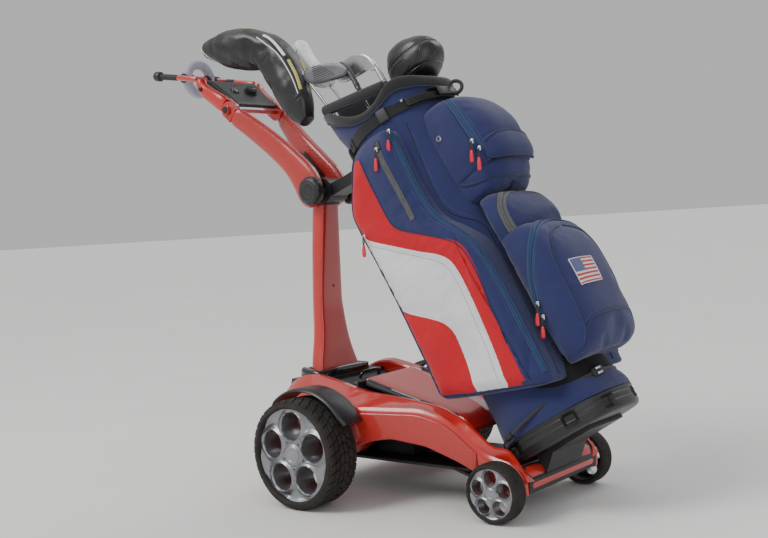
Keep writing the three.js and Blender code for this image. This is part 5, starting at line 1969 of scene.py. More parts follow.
def small_hardware():
    """The cord grommet, the rivets and the webbing loop for a towel."""
    body = tree_of(BODY, UPPER_SKIN)
    place, normal = surface_point(body, 118, -96, 676, 0.0)
    ring = [(3.4, -0.5), (3.4, 1.4), (4.2, 2.2), (6.4, 2.2), (7.6, 1.0), (7.8, -0.5)]
    parts = [lathe_mm(ring, place, normal, 28, closed=True)]
    head = [(0, 0.0024), (0.0022, 0.0022), (0.0038, 0.0006), (0.0040, -0.003), (0, -0.003)]
    for t, y, s in ((92, 104, 800.5), (52, 128, 805), (-121, 92, 862)):
        for side in (-1, 1):
            spot, out = surface_point(CUFF_TREE, t, side * y, s)
            out = out if out.dot(spot - bag(0, 0, s)) > 0 else -out
            parts.append(lathe(head, spot, out, 18))
    add("eyelets_and_rivets", merge(parts), ROOT, STEEL, "steel", sharp=40)
    loop = smooth_path(
        [
            bag(168, -8, 512), bag(178, -8, 519), bag(186, -8, 530), bag(184, -8, 540),
            bag(176, -8, 540), bag(170, -8, 528), bag(160, -8, 516)
        ], 0.003
    )
    normals = np.tile(np.array([0.0, 1.0, 0.0]), (len(loop), 1))
    section = [(-0.0008, -0.009), (0.0008, -0.009), (0.0008, 0.009), (-0.0008, 0.009)]
    add("towel_loop", sweep(loop, section, normals), ROOT, NAVY_DARK, "strap", bevel=0.0003)


# ---------------------------------------------------------------- cuff, handle and dividers
CUFF_RIM = [
    (-160, 935), (-128, 927), (-100, 908), (-62, 868), (-30, 840), (10, 828), (50, 830), (78, 850),
    (100, 857), (128, 850), (160, 832)
]
BAND_TOP = [
    (-160, 914), (-137, 908), (-110, 884), (-80, 852), (-40, 822), (-10, 811), (20, 806), (60, 812),
    (80, 822), (98, 826), (125, 818), (160, 806)
]


def cuff_reach(s):
    """Half sizes of the flared cuff at a height."""
    return np.interp(s, [802, 860, 940], [132, 149, 156]), np.interp(
        s, [802, 860, 940], [132, 140, 143]
    )


def cuff_point(angle, s, inset):
    """(t, y) of the cuff's wall in one direction, at a height."""
    a, b = cuff_reach(s)
    c, k = math.cos(angle), math.sin(angle)
    t = (a - inset) * signed_power(c, 0.92)
    y = (b - inset) * signed_power(k, 0.92)
    return t, y


def cuff_heights(angle):
    """Heights of the cuff's rim and of its navy band's top edge, in one direction."""
    reach = cuff_reach(880)[0] * signed_power(math.cos(angle), 0.92)
    rim, edge = (
        float(np.mean([lerp_table(table, reach + d) for d in (-14, -7, 0, 7, 14)]))
        for table in (CUFF_RIM, BAND_TOP)
    )
    return rim, min(edge, rim - 14)


def cuff():
    """The navy band, the padded rim over it and the piping between; returns their surface."""
    sides = 112
    band, pad = [[] for _ in range(6)], [[] for _ in range(15)]
    for i in range(sides):
        angle = 2 * math.pi * i / sides
        rim, edge = cuff_heights(angle)
        for k, (s, inset) in enumerate((
            (800.5, 0.6), (804, 0.8), (802 + (edge - 802) * 0.5, 1.0), (edge, 1.0), (edge + 2, 4),
            (801, 6)
        )):
            t, y = cuff_point(angle, s, inset)
            band[k].append(bag(t, y, s))
        tall = rim - edge
        thin = 1 - 0.45 * max(0.0, -math.cos(angle)) ** 0.7
        section = [
            (edge + 0.4, 1.6), (edge + 1.6, -1.6), (edge + tall * 0.3, -2.6),
            (edge + tall * 0.62, -2.2), (rim - 7, -0.6), (rim - 2.2, 1.6), (rim, 7.5 * thin),
            (rim - 1.0, 12.5 * thin), (rim - 6, 15.6 * thin), (rim - 14, 17 * thin),
            (rim - tall * 0.7, 16.6 * thin), (edge - 4, 14.5 * thin), (803, 11 * thin), (796, 9.6),
            (798, 6.5)
        ]
        for k, (s, inset) in enumerate(section):
            t, y = cuff_point(angle, max(s, 794), inset)
            pad[k].append(bag(t, y, max(s, 794)))
    band_piece = add("cuff_band", loft(band, cap=False), ROOT, NAVY, "navy_fabric")
    verts, faces = loft(pad, cap=False)
    n, last = sides, (len(pad) - 1) * sides
    faces += [(last + i, last + (i + 1) % n, (i + 1) % n, i) for i in range(n)]
    rim_piece = fix_normals(to_mesh("cuff_padding", verts, faces))
    push_out(rim_piece, lambda p: 0.0012 * noise.noise(p * 22))
    finish_piece(rim_piece, ROOT, PADDED, "cuff_fabric", ["bag_cuff"], sub=1)
    line = []
    for i in range(sides):
        angle = 2 * math.pi * i / sides
        _, edge = cuff_heights(angle)
        t, y = cuff_point(angle, edge + 1, -1.4)
        line.append(bag(t, y, edge + 1))
    path = smooth_path(line, 0.006, closed=True)
    add("cuff_piping", sweep(path, circle(0.0019, 8), closed=True), ROOT, PIPING, "cuff_fabric")
    return tree_of(band_piece, rim_piece)


CUFF_TREE = cuff()
small_hardware()


def cuff_handles():
    """A padded bar across the scoop on each side, between the rim's high ends."""
    for word, side in SIDES:
        line = smooth_path(
            [
                bag(-112, side * 99, 921), bag(-88, side * 103, 911), bag(-30, side * 109, 888),
                bag(30, side * 113, 866), bag(62, side * 114, 855), bag(78, side * 113, 850)
            ], 0.008
        )
        normals = np.tile(np.array(tuple((bag(0, 0, 1) - bag(0, 0, 0)).normalized())), (len(line), 1))
        section = [
            (9.5 * math.cos(a) * abs(math.cos(a)) ** 0.15 / 1000, (12.5 * math.sin(a)) / 1000)
            for a in [2 * math.pi * k / 16 for k in range(16)]
        ]
        swell = [1 + 0.14 * math.sin(math.pi * i / (len(line) - 1)) for i in range(len(line))]
        piece = add(
            f"cuff_handle_{word}", sweep(line, section, normals, scale=swell), ROOT, PADDED,
            "cuff_fabric", sub=1
        )
        tree = tree_of(piece)
        low = [bag(-100 + 19 * k, side * 119, 903 - 7.3 * k) for k in range(9)]
        stitches(f"cuff_handle_stitch_{word}", tree, low, THREAD)


cuff_handles()


# The crest of the two outer walls, which stand up inside the cuff.
HIGH_WALL = [
    (-118, 930), (-90, 938), (-50, 930), (0, 908), (40, 878), (80, 850), (100, 834), (116, 820)
]


def dividers():
    """Padded walls between the clubs, in three rows along and four across."""
    parts = []
    top, low, half = 796, 769, 3.3
    for y in (-44, 0, 44):
        reach = math.sqrt(123.5**2 - y * y)
        rows = []
        for t in np.linspace(-reach, reach, 24):
            crest = lerp_table(HIGH_WALL, t) if y else top
            rows.append([
                bag(t, y + a, s)
                for a, s in (
                    (-half, low), (-half, crest - 3), (-half * 0.7, crest - 0.6), (0, crest),
                    (half * 0.7, crest - 0.6), (half, crest - 3), (half, low)
                )
            ])
        parts.append(loft(rows))
    for t in (-78, -26, 26, 78):
        reach = math.sqrt(123.5**2 - t * t)
        ring = [
            (-half, low), (-half, top - 3.4), (-half * 0.7, top - 1), (0, top - 0.4),
            (half * 0.7, top - 1), (half, top - 3.4), (half, low)
        ]
        parts.append(
            loft([[bag(t + a, y, s) for a, s in ring] for y in np.linspace(-reach, reach, 16)])
        )
    piece = add("divider_walls", merge(parts), ROOT, PADDED, "cuff_fabric", ["club_dividers"])


dividers()


# ---------------------------------------------------------------- strap, bungee and pulls
def strap():
    """The strap round the bag's top, with its buckle, its ring and its anchors at the bracket."""

    def arc(a0, a1, radius, section, count):
        run, out = [], []
        for k in range(count + 1):
            angle = math.radians(a0 + (a1 - a0) * k / count)
            s = 789 + 8 * (1 - math.cos(angle)) * 0.5
            run.append(tuple(bag(radius * math.cos(angle), radius * math.sin(angle), s)))
            out.append(tuple(bag(math.cos(angle), math.sin(angle), 0) - bag(0, 0, 0)))
        return sweep(np.array(run), section, np.array(out))

    section = [
        (-0.0134, 0), (-0.0138, 0.0014), (-0.0130, 0.0024), (-0.010, 0.0022), (0.010, 0.0022),
        (0.0130, 0.0024), (0.0138, 0.0014), (0.0134, 0)
    ]
    add(
        "strap_webbing", arc(-127, 127, 132.2, section, 96), ROOT, WEBBING, "strap", ["bag_strap"],
        sharp=45
    )
    keeper = [
        (-0.0158, 0), (-0.0158, 0.0045), (-0.0135, 0.0058), (0.0135, 0.0058), (0.0158, 0.0045),
        (0.0158, 0)
    ]
    parts = [arc(-76, -66, 132.6, keeper, 6)]
    ladder = [
        (-0.0095, 0), (-0.0095, 0.0046), (-0.008, 0.0056), (0.008, 0.0056), (0.0095, 0.0046),
        (0.0095, 0)
    ]
    parts.append(arc(-46, -8, 134.2, ladder, 14))
    for k in range(13):
        a = -44 + 2.0 * k
        tooth = [(-0.0075, 0), (-0.0075, 0.0026), (0.0075, 0.0026), (0.0075, 0)]
        parts.append(arc(a, a + 0.9, 139.4, tooth, 1))
    for side in (-1, 1):
        parts.append(
            arc(
                -22, 6, 135,
                [
                    (side * 0.0125 - 0.0014, 0), (side * 0.0125 - 0.0014, 0.012),
                    (side * 0.0125, 0.0135), (side * 0.0125 + 0.0014, 0.012),
                    (side * 0.0125 + 0.0014, 0)
                ], 8
            )
        )
    lever = [
        (-0.011, 0), (-0.011, 0.003), (-0.009, 0.0046), (0.009, 0.0046), (0.011, 0.003), (0.011, 0)
    ]
    parts.append(arc(-14, 12, 147, lever, 8))
    add("strap_buckle", merge(parts), ROOT, BLACK, "black_plastic", bevel=0.0006, sharp=35)
    middle = bag(158, 14, 792)
    axis = Vector((0.35, -0.75, 0.35)).normalized()
    loop = lathe(
        [
            (0.0155 + 0.0042 * math.cos(a), 0.0042 * math.sin(a))
            for a in [2 * math.pi * k / 12 for k in range(12)]
        ], middle, axis, 40, closed=True
    )
    add("strap_pull_ring", loop, ROOT, DARK_RUBBER, "strap", sharp=60)
    parts = []
    for side in (-1, 1):
        tab = [
            (-0.014, 0.0), (-0.014, 0.004), (-0.011, 0.0068), (0.011, 0.0068), (0.014, 0.004),
            (0.014, 0.0)
        ]
        parts.append(arc(side * 118, side * 128, 132, tab, 6))
        parts.append(
            arc(
                side * 122, side * 126, 137, [(-0.006, 0), (-0.004, 0.004), (0.004, 0.004), (0.006, 0)],
                3
            )
        )
    add("strap_anchors", merge(parts), ROOT, BLACK, "black_plastic", bevel=0.0005, sharp=35)


strap()


def bungee():
    """The elastic cord over the bag's foot, with a hook at each end and its adjuster in front."""
    points, steps = [], 40
    for i in range(-steps, steps + 1):
        f = i / steps
        angle = math.radians(112 * f)
        r = 135.2 + 12 * abs(f) ** 8
        base = 11 * math.cos(angle) * 0.9
        points.append(bag(r * math.cos(angle) + base, r * math.sin(angle), 88 - 36 * f * f))
    path = np.array([tuple(p) for p in points])
    add("bungee_skin", sweep(path, circle(0.0034, 12)), ROOT, CORD, "cord", ["bungee_cord"])
    parts = []
    for end, nxt, side in ((points[0], points[1], -1), (points[-1], points[-2], 1)):
        down = (Vector(end) - Vector(nxt)).normalized()
        start = Vector(end) - down * 0.018
        body = [
            (0.0037, 0), (0.0058, 0.001), (0.0062, 0.004), (0.0062, 0.016), (0.0054, 0.020),
            (0.0030, 0.023)
        ]
        parts.append(lathe([(0, 0.0), *body, (0, 0.024)], start, down, 20))
        curl = smooth_path(
            [
                start + down * 0.022, start + down * 0.030 + Vector((0, 0, -0.002)),
                start + down * 0.036 + Vector((0.002, -side * 0.004, -0.007)),
                start + down * 0.034 + Vector((0.002, -side * 0.010, -0.011)),
                start + down * 0.027 + Vector((0.001, -side * 0.013, -0.008))
            ], 0.002
        )
        parts.append(sweep(curl, circle(0.0023, 10)))
    add("bungee_hooks", merge(parts), ROOT, BLACK, "black_plastic", sharp=40)
    centre = Vector(points[steps - 5])
    out = (centre - bag(0, 0, 88)).normalized()
    along = (Vector(points[steps - 4]) - Vector(points[steps - 6])).normalized()
    across = out.cross(along).normalized()
    rings = []
    for k, w, h in (
        (-17, 0.5, 0.6), (-15, 0.85, 0.9), (-8, 1, 1), (8, 1, 1), (15, 0.85, 0.9), (17, 0.5, 0.6)
    ):
        section = rounded(0.021 * w, 0.014 * h, 0.004 * w, 3)
        rings.append([
            centre + along * (k / 1000) + across * a + out * (b - 0.0055) for a, b in section
        ])
    add("bungee_adjuster", loft(rings), ROOT, BLACK, "black_plastic", bevel=0.0005, sharp=35)
    clip = []
    for side in (-1, 1):
        rings = []
        for k in (-7, -6, 6, 7):
            section = rounded(0.0042, 0.0018 if abs(k) == 6 else 0.0010, 0.0004, 1)
            rings.append([
                centre + along * (k / 1000) + across * (a + side * 0.0052) + out * (b + 0.0080)
                for a, b in section
            ])
        clip.append(loft(rings))
    add("bungee_adjuster_clip", merge(clip), ROOT, CHROME, "chrome", bevel=0.0002)


bungee()


def zip_pull(name, body, pivot, out, length=0.046, replaces=()):
    """A slider with a cord loop and a red moulded grip that hangs straight down."""
    down = Vector((0, 0, -1))
    side = out.cross(down).normalized()
    slider = []
    for k, w, h in ((-6, 0.6, 0.6), (-5, 0.9, 0.9), (0, 1.0, 1.0), (4, 0.9, 0.9), (6, 0.5, 0.6)):
        section = rounded(0.0085 * w, 0.0044 * h, 0.0012, 2)
        slider.append([pivot + down * (k / 1000) + side * a + out * (b - 0.002) for a, b in section])
    add(f"{name}_slider", loft(slider), ROOT, CHROME, "chrome", bevel=0.0004, sharp=40)
    top = pivot + out * 0.0034
    grip_start = 0.018
    cord = [
        top, top + down * 0.005 + side * 0.0016, top + down * 0.012 + side * 0.0016,
        top + down * (grip_start + 0.003), top + down * 0.012 - side * 0.0016,
        top + down * 0.005 - side * 0.0016, top + out * 0.0006
    ]
    add(f"{name}_cord", sweep(smooth_path(cord, 0.002), circle(0.0011, 8)), body, CORD, "cord")
    rings = []
    for f, w in (
        (0, 0.35), (0.03, 0.6), (0.1, 0.78), (0.22, 0.72), (0.3, 0.92), (0.45, 1), (0.7, 1.04),
        (0.88, 0.98), (0.96, 0.8), (1.0, 0.4)
    ):
        at = top + down * (grip_start + f * (length - grip_start))
        ring = []
        for k in range(16):
            a = 2 * math.pi * k / 16
            ring.append(
                at + side * (0.0046 * w * signed_power(math.cos(a), 0.7))
                + out * (0.0030 * w * signed_power(math.sin(a), 0.7))
            )
        rings.append(ring)
    add(f"{name}_grip", loft(rings), body, PULL, "pull", list(replaces), sharp=50)


RIGHT = Vector((0, -1, 0))
zip_pull("side_pull", "zip_pull_side", bag(-119, -173, 583), RIGHT, 0.044, ["zip_pull_side"])
zip_pull("upper_pull_a", "zip_pull_upper", bag(190, -99, 618), RIGHT, 0.044, ["zip_pull_upper"])
zip_pull("upper_pull_b", ROOT, bag(196, -97, 596), RIGHT, 0.046)
zip_pull("ball_pull_a", "zip_pull_ball", bag(149, -120, 250), RIGHT, 0.044, ["zip_pull_ball"])
zip_pull("ball_pull_b", ROOT, bag(144, -118, 222), RIGHT, 0.042)
for _word, _side in SIDES:
    _out = Vector((0, _side, 0))
    zip_pull(f"grey_zip_pull_{_word}", ROOT, bag(18, _side * 173.5, 718), _out, 0.046)
    zip_pull(f"s_zip_pull_{_word}", ROOT, bag(58, _side * 157, 738), _out, 0.044)


# ---------------------------------------------------------------- clubs
CLUBS = {
    "driver": dict(x=-94, y=-58, lean=10), "fairway_wood": dict(x=-104, y=22, lean=9),
    "iron_long": dict(x=52, y=-66, lean=0), "iron_short": dict(x=-4, y=-86, lean=0),
    "putter": dict(x=52, y=22, lean=0)
}


# The height up the bag at which the leaning clubs turn about their own places.
CLUB_TURN = 782


def club_point(club, x, y, s):
    """A club's own point: x forward, y left, s its height when the club stands upright in the bag."""
    spec = CLUBS[club]
    a, h = math.radians(spec["lean"]), s - CLUB_TURN
    return bag(
        spec["x"] + x * math.cos(a) - h * math.sin(a), spec["y"] + y,
        CLUB_TURN + x * math.sin(a) + h * math.cos(a)
    )


def club_lathe(club, profile, sides=20):
    """A profile turned about a club's own line."""
    foot = club_point(club, 0, 0, 0)
    axis = (club_point(club, 0, 0, 100) - foot).normalized()
    return lathe_mm(profile, foot, axis, sides)


def shaft(club, top, look):
    """A stepped shaft and its ribbed grip."""
    steps = [(0, 300), (4.9, 300)]
    for k in range(12):
        s = 310 + (top - 330) * k / 12
        steps += [(4.9 - 0.07 * k, s), (4.9 - 0.07 * (k + 1), s + 2)]
    steps += [(4.0, top), (0, top)]
    add(f"{club}_shaft", club_lathe(club, steps), club, look, "steel", sharp=50)
    grip = [(0, 56), (7.2, 56), (8.8, 58), (8.8, 63)]
    for k in range(24):
        s = 66 + 10 * k
        r = 8.7 - 0.10 * k
        grip += [(r, s), (r, s + 7.6), (r - 0.5, s + 8.2), (r - 0.5, s + 9.4)]
    grip += [(6.2, 308), (5.0, 311), (0, 311)]
    add(f"{club}_grip", club_lathe(club, grip), club, DARK_RUBBER, "black_plastic", sharp=50)


class Pod:
    """A rounded cover lofted through x, s, half depth, half width, turn and y stations."""

    def __init__(self, club, stations, power=2.3, step=7.0):
        rows = [(*row, 0) if len(row) == 5 else row for row in stations]
        self.club, self.power = club, power
        self.line = smooth_path(rows, step)

    def at(self, f, angle, away=0.0):
        row = [
            float(np.interp(f * (len(self.line) - 1), range(len(self.line)), self.line[:, k]))
            for k in range(6)
        ]
        x, s, depth, width, turn, y = row
        c, k = math.cos(math.radians(angle)), math.sin(math.radians(angle))
        u = (depth + away) * signed_power(c, 2 / self.power)
        v = (width + away) * signed_power(k, 2 / self.power)
        a = math.radians(turn)
        return club_point(self.club, x + u * math.cos(a), y + v, s + u * math.sin(a))

    def skin(self, name, sides=40):
        count = len(self.line)
        rings = [
            [self.at(i / (count - 1), 360 * k / sides) for k in range(sides)] for i in range(count)
        ]
        for end, ring in ((0, rings[0]), (1, rings[-1])):
            middle = sum(ring, Vector()) / sides
            other = rings[1] if end == 0 else rings[-2]
            push = (middle - sum(other, Vector()) / sides) * 0.35
            small = [
                [middle + (p - middle) * k + push * f for p in ring]
                for k, f in ((0.8, 0.6), (0.45, 0.95))
            ]
            rings = small[::-1] + rings if end == 0 else rings + small
        return fix_normals(to_mesh(name, *loft(rings)))

    def line_on(self, pairs, away=0.0):
        return [self.at(f, a, away) for f, a in pairs]


def cover_trim(name, club, pod, pairs, radius, look, tree):
    """A flat band along a cover's skin."""
    path, normals = stick(tree, smooth_path(pod.line_on(pairs), 0.005), 0.0003, 2)
    section = [
        (math.cos(a) * radius, math.sin(a) * radius * 0.55)
        for a in [2 * math.pi * k / 10 for k in range(10)]
    ]
    add(name, sweep(path, section, normals), club, look, "cover_white")


def dent(piece, amount, scale):
    """Uneven hollows of soft leather."""
    push_out(piece, lambda p: amount * (noise.noise(p * scale) + 0.4 * noise.noise(p * scale * 2.7)))


DRIVER_POD = [
    (-64, 972, 16, 18, 0, -8), (-56, 1020, 42, 28, 0, -8), (-42, 1092, 50, 34, -4, -6),
    (-40, 1156, 48, 38, 4, -4), (-54, 1204, 47, 46, 24, 0), (-80, 1242, 50, 56, 38, 0),
    (-116, 1284, 45, 60, 42, 0), (-156, 1328, 30, 48, 44, 0), (-184, 1360, 12, 24, 45, 0)
]


def driver():
    """The driver under its large drooping cover."""
    shaft("driver", 1100, GRAPHITE)
    pod = Pod("driver", DRIVER_POD, power=2.9)
    piece = pod.skin("driver_cover", 44)
    puff(piece, np.full(len(piece.data.vertices), 0.12), 0.004, slack=-0.02)
    dent(piece, 0.0042, 17)
    seams = [
        [(0.12, -62), (0.3, -70), (0.5, -80), (0.7, -76), (0.9, -70)],
        [(0.62, -172), (0.62, -90), (0.62, -8)], [(0.40, -172), (0.41, -90), (0.40, -8)],
        [(0.58, 20), (0.75, -24), (0.95, -30)]
    ]
    folds = [
        [(0.42, -150), (0.5, -120), (0.56, -84)], [(0.46, -160), (0.56, -142), (0.62, -110)],
        [(0.66, -150), (0.72, -116), (0.80, -98)], [(0.30, -130), (0.36, -96), (0.44, -70)]
    ]
    crease(piece, [pod.line_on(line) for line in seams], 0.0026, 0.007)
    crease(piece, [pod.line_on(line) for line in folds], 0.0050, 0.013)
    finish_piece(piece, "driver", LEATHER, "cover_black", ["driver"], sub=1)
    tree = tree_of(piece)
    trims = [
        ("crown", [(0.60, -22), (0.66, -16), (0.74, -14), (0.82, -16)], 0.0036, TRIM_YELLOW),
        ("neck_yellow", [(0.13, -28), (0.22, -26), (0.31, -26)], 0.0042, TRIM_YELLOW),
        ("neck_white", [(0.34, -30), (0.42, -28), (0.50, -30)], 0.0040, WHITE_LEATHER),
        ("neck_stripe", [(0.12, -52), (0.24, -50), (0.38, -50), (0.52, -52)], 0.0013, WHITE_LEATHER),
        (
            "seam_low", [(0.62, -168), (0.63, -130), (0.62, -90), (0.61, -50), (0.60, -24)], 0.0012,
            GLOSS
        ), ("seam_tip", [(0.80, -150), (0.90, -110), (0.97, -90), (0.985, -60)], 0.0012, WHITE_LEATHER),
        ("tip", [(0.955, -158), (0.975, -130), (0.98, -100), (0.975, -70)], 0.0030, WHITE_LEATHER),
        ("seam_neck", [(0.40, -170), (0.41, -130), (0.42, -90), (0.41, -60)], 0.0012, GLOSS)
    ]
    for word, pairs, radius, look in trims:
        cover_trim(f"driver_cover_{word}", "driver", pod, pairs, radius, look, tree)
        if "seam" in word or word in ("crown", "neck_yellow", "neck_stripe"):
            cover_trim(
                f"driver_cover_{word}_far", "driver", pod, [(f, -a) for f, a in pairs], radius, look,
                tree
            )
    knit = []
    for k in range(9):
        knit.append([pod.at(0.02 + 0.012 * k, 360 * i / 36, 1.2 if k % 2 else -0.4) for i in range(36)])
    add("driver_cover_cuff", loft(knit, cap=False), "driver", WEBBING, "cover_black", sub=1)


def fairway_wood():
    """The fairway wood under its white cover."""
    shaft("fairway_wood", 1060, GRAPHITE)
    pod = Pod(
        "fairway_wood",
        [
            (0, 1036, 12, 14, 0), (-10, 1062, 21, 18, 6), (-18, 1092, 26, 21, 9),
            (-20, 1130, 27, 22, 10), (-16, 1160, 27, 22, 9), (-12, 1182, 25, 20.5, 8)
        ], power=4.0
    )
    piece = pod.skin("fairway_cover", 40)
    dent(piece, 0.0009, 24)
    crease(
        piece, [pod.line_on([(f / 10, a) for f in range(1, 10)]) for a in (-45, 45, 135, -135)], 0.0008,
        0.004
    )
    finish_piece(piece, "fairway_wood", WHITE_LEATHER, "cover_white", ["fairway_wood"], sub=1)
    tree = tree_of(piece)
    cover_trim(
        "fairway_cover_edge", "fairway_wood", pod,
        [(0.1, -140), (0.4, -138), (0.7, -138), (0.95, -140)], 0.0018, PATCH_BLUE, tree
    )
    cover_trim(
        "fairway_cover_seam", "fairway_wood", pod,
        [(0.86, -178), (0.86, -135), (0.86, -90), (0.86, -45), (0.86, -2)], 0.0008, THREAD, tree
    )
    knit = [
        [pod.at(0.0 + 0.02 * k, 360 * i / 36, 1.2 if k % 2 else -0.3) for i in range(36)]
        for k in range(8)
    ]
    add("fairway_cover_cuff", loft(knit, cap=False), "fairway_wood", PATCH_WHITE, "cover_white", sub=1)


LONG_BLADE = [
    (4, -6), (2, 18), (-8, 38), (-30, 56), (-56, 67), (-86, 72), (-110, 67), (-117, 52), (-110, 36),
    (-88, 25), (-58, 15), (-26, 5), (-8, -8)
]
SHORT_BLADE = [
    (3, -2), (-6, 18), (-26, 37), (-54, 54), (-80, 65), (-100, 65), (-107, 52), (-100, 34), (-80, 19),
    (-52, 6), (-26, -5), (-8, -10)
]


def iron(club, blade, top, turn, look, grooves):
    """An iron with its hosel, blade and ferrule."""
    shaft(club, top - 26, GRAPHITE)
    a = math.radians(turn)

    def at(x, y, s):
        return club_point(club, x * math.cos(a) - y * math.sin(a), x * math.sin(a) + y * math.cos(a), s)

    outline = smooth_2d(blade, 4, closed=True)
    cx, cz = (sum(p[k] for p in outline) / len(outline) for k in (0, 1))
    rings = []
    for y, k in (
        (-7.4, 0.30), (-7.5, 0.60), (-7.6, 0.86), (-7.3, 0.94), (-6.2, 0.985), (-3.5, 1.0), (0, 0.995),
        (4.5, 0.97), (6.6, 0.93), (7.4, 0.86), (7.2, 0.78), (4.6, 0.72), (4.2, 0.68)
    ):
        rings.append([at(cx + (x - cx) * k, y, top + cz + (z - cz) * k) for x, z in outline])
    parts = [loft(rings)]
    neck = [
        at(0, 0, top - 50), at(0, 0, top - 34), at(0, 0, top - 18), at(-1, 0, top - 4),
        at(-4, 0, top + 10), at(-12, 0, top + 24)
    ]
    path = smooth_path(neck, 0.003)
    swell = [
        float(np.interp(i / (len(path) - 1), [0, 0.04, 0.6, 1], [0.88, 1, 1.0, 1.12]))
        for i in range(len(path))
    ]
    parts.append(sweep(path, circle(0.0064, 20), scale=swell))
    for k in range(2):
        ring = [
            (6.4, top - 50 + 5 * k), (7.0, top - 49.4 + 5 * k), (7.0, top - 47.6 + 5 * k),
            (6.4, top - 47 + 5 * k)
        ]
        parts.append(club_lathe(club, ring))
    add(f"{club}_head", merge(parts), club, look, "chrome", [club], sharp=38)
    if grooves:
        lines = []
        for k in range(9):
            z = top + 10 + 5.2 * k
            x0, x1 = -32 - 5.5 * k * 0.55, -86 + 1.5 * k
            run = [at(x, -8.0, z + (-x - 32) * 0.32) for x in (x0, (x0 + x1) / 2, x1)]
            lines.append(
                sweep(
                    smooth_path(run, 0.006),
                    [(-0.0005, 0), (0.0005, 0), (0.0005, 0.0005), (-0.0005, 0.0005)]
                )
            )
        add(f"{club}_grooves", merge(lines), club, DARK_RUBBER, "black_plastic")
    band = [(4.7, top - 70), (5.6, top - 69), (5.9, top - 60), (6.6, top - 51), (6.2, top - 50)]
    add(f"{club}_ferrule", club_lathe(club, band), club, GLOSS, "black_plastic", sharp=40)


def putter():
    """The putter under its round mallet cover."""
    shaft("putter", 880, GRAPHITE)
    stations = [
        (8, 866, 30, 30, 0, 12), (20, 872, 50, 42, 0, 12), (30, 884, 64, 50, 0, 12),
        (36, 900, 70.5, 53, 0, 12), (38, 916, 72, 54, 0, 12), (37, 932, 68, 51.5, 0, 12),
        (36, 946, 60, 47, 0, 12), (30, 960, 49, 39, 0, 12), (22, 972, 34, 28, 0, 12)
    ]
    pod = Pod("putter", stations, power=2.4, step=5)
    piece = pod.skin("putter_cover", 56)
    puff(piece, np.full(len(piece.data.vertices), 0.15), 0.003, slack=-0.015)
    dent(piece, 0.0014, 18)
    band = [(0.62, -180 + 12 * k) for k in range(31)]
    crease(
        piece, [pod.line_on(band), pod.line_on([(0.28, -180 + 12 * k) for k in range(31)])], 0.0022,
        0.006
    )
    finish_piece(piece, "putter", LEATHER, "cover_black", ["putter"], sub=1)
    tree = tree_of(piece)
    for f, radius in ((0.62, 0.0016), (0.28, 0.0013)):
        path, _ = stick(
            tree, smooth_path(pod.line_on([(f, 10 * k) for k in range(36)]), 0.006, closed=True), 0.0004
        )
        add(
            f"putter_cover_welt_{int(f * 100)}", sweep(path, circle(radius, 8), closed=True), "putter",
            GLOSS, "cover_black"
        )
    for word, angle in (("near", -100), ("right", -30)):
        ring = []
        for k in range(24):
            a = 2 * math.pi * k / 24
            ring.append((0.44 + 0.10 * math.sin(a), angle + 22 * math.cos(a)))
        path, _ = stick(tree, smooth_path(pod.line_on(ring), 0.004, closed=True), 0.0003)
        add(
            f"putter_cover_panel_{word}", sweep(path, circle(0.0011, 8), closed=True), "putter", GLOSS,
            "cover_black"
        )


driver()
fairway_wood()
iron("iron_long", LONG_BLADE, 930, -8, BRUSHED, False)
iron("iron_short", SHORT_BLADE, 960, 12, DARK_STEEL, True)
putter()


# ---------------------------------------------------------------- CAD pieces that stay as they are
KEPT = {
    "chassis_floor": BLACK, "mast_socket": BLACK, "battery_pack": BLACK, "control_board": BOARD,
    "gearmotor_right": STEEL, "gearmotor_left": STEEL, "drive_shaft_right": STEEL,
    "drive_shaft_left": STEEL, "front_axle": STEEL, "mast_head": BLACK, "hinge_pin": STEEL,
    "tilt_bar": RED, "bag_bracket": BLACK, "bag_cradle": BLACK
}


def dress_cad():
    """Gives the CAD nodes that nothing replaces their looks."""
    for name in sorted(NODES):
        node = bpy.data.objects.get(name)
        if node is None or node.hide_render:
            continue
        material = KEPT.get(name, BLACK).material
        if not node.material_slots:
            node.data.materials.append(material)
        for part in node.material_slots:
            part.material = material


dress_cad()


# ---------------------------------------------------------------- floor, light and camera
def floor():
    """The pale ground, a hair below the wheels."""
    look = Look("floor_pale", (0.80, 0.79, 0.77), 0.85, Specular_IOR_Level=0.2)
    look.tint(0.015, 2.0)
    look.bump(look.noise(60, 3), 0.0005, 0.2)
    size = 400
    o = to_mesh(
        "floor", [(-size, -size, 0), (size, -size, 0), (size, size, 0), (-size, size, 0)],
        [(0, 1, 2, 3)]
    )
    o.data.materials.append(look.material)
    o.location.z = -0.0006


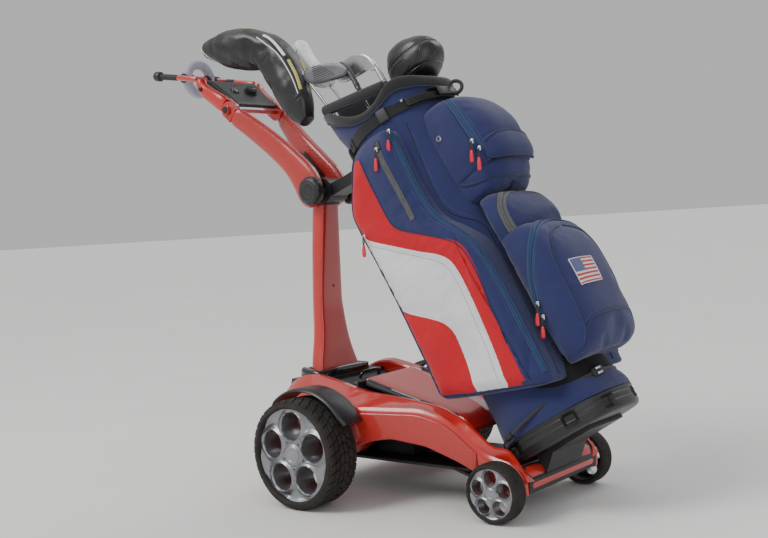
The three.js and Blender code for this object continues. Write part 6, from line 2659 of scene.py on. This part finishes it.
def area_light(name, place, target, size, power, color=(1, 1, 1)):
    data = bpy.data.lights.new(name, "AREA")
    data.shape, data.size, data.energy, data.color = "DISK", size, power, color
    o = bpy.data.objects.new(name, data)
    bpy.context.scene.collection.objects.link(o)
    o.location = place
    o.rotation_euler = (Vector(target) - Vector(place)).to_track_quat("-Z", "Y").to_euler()


def sun_light(name, direction, spread, power):
    data = bpy.data.lights.new(name, "SUN")
    data.energy, data.angle = power, math.radians(spread)
    o = bpy.data.objects.new(name, data)
    bpy.context.scene.collection.objects.link(o)
    o.rotation_euler = Vector(direction).to_track_quat("Z", "Y").to_euler()


def lights():
    """A key and a fill light, three soft suns and a pale world."""
    middle = (0, 0, 0.5)
    area_light("key", (-1.6, -3.2, 3.4), middle, 2.4, 62, (1.0, 0.985, 0.96))
    area_light("fill", (3.4, -2.2, 1.8), middle, 3.0, 30, (0.95, 0.97, 1.0))
    sun_light("key_sky", (-0.5, -1.0, 1.15), 26, 1.0)
    sun_light("rim_sky", (0.2, 1.0, 0.9), 30, 0.55)
    sun_light("top_sky", (-0.3, 0.1, 1.0), 60, 0.4)
    world = bpy.data.worlds.new("studio")
    bpy.context.scene.world = world
    world.use_nodes = True
    background = world.node_tree.nodes["Background"]
    background.inputs["Color"].default_value = (0.90, 0.905, 0.92, 1)
    background.inputs["Strength"].default_value = 0.6


def camera():
    """The photo's camera, as it was fitted to the wheels and the mast."""
    yaw, pitch, roll = math.radians(-40.03), math.radians(-2.59), math.radians(-3.47)
    forward = Vector((
        math.cos(pitch) * math.sin(yaw), math.cos(pitch) * math.cos(yaw), math.sin(pitch)
    ))
    right = forward.cross(Vector((0, 0, 1))).normalized()
    up = right.cross(forward)
    tilted = right * math.cos(roll) + up * math.sin(roll)
    upright = up * math.cos(roll) - right * math.sin(roll)
    data = bpy.data.cameras.new("camera")
    data.lens, data.sensor_width, data.sensor_fit = 50, 36, "HORIZONTAL"
    data.clip_end = 100
    o = bpy.data.objects.new("camera", data)
    bpy.context.scene.collection.objects.link(o)
    turn = Matrix((tilted, upright, -forward)).transposed().to_4x4()
    o.matrix_world = Matrix.Translation((1.6623 + AXLE_X, -1.9358, 0.6223)) @ turn
    bpy.context.scene.camera = o


floor()
lights()
camera()
bpy.context.view_layer.update()
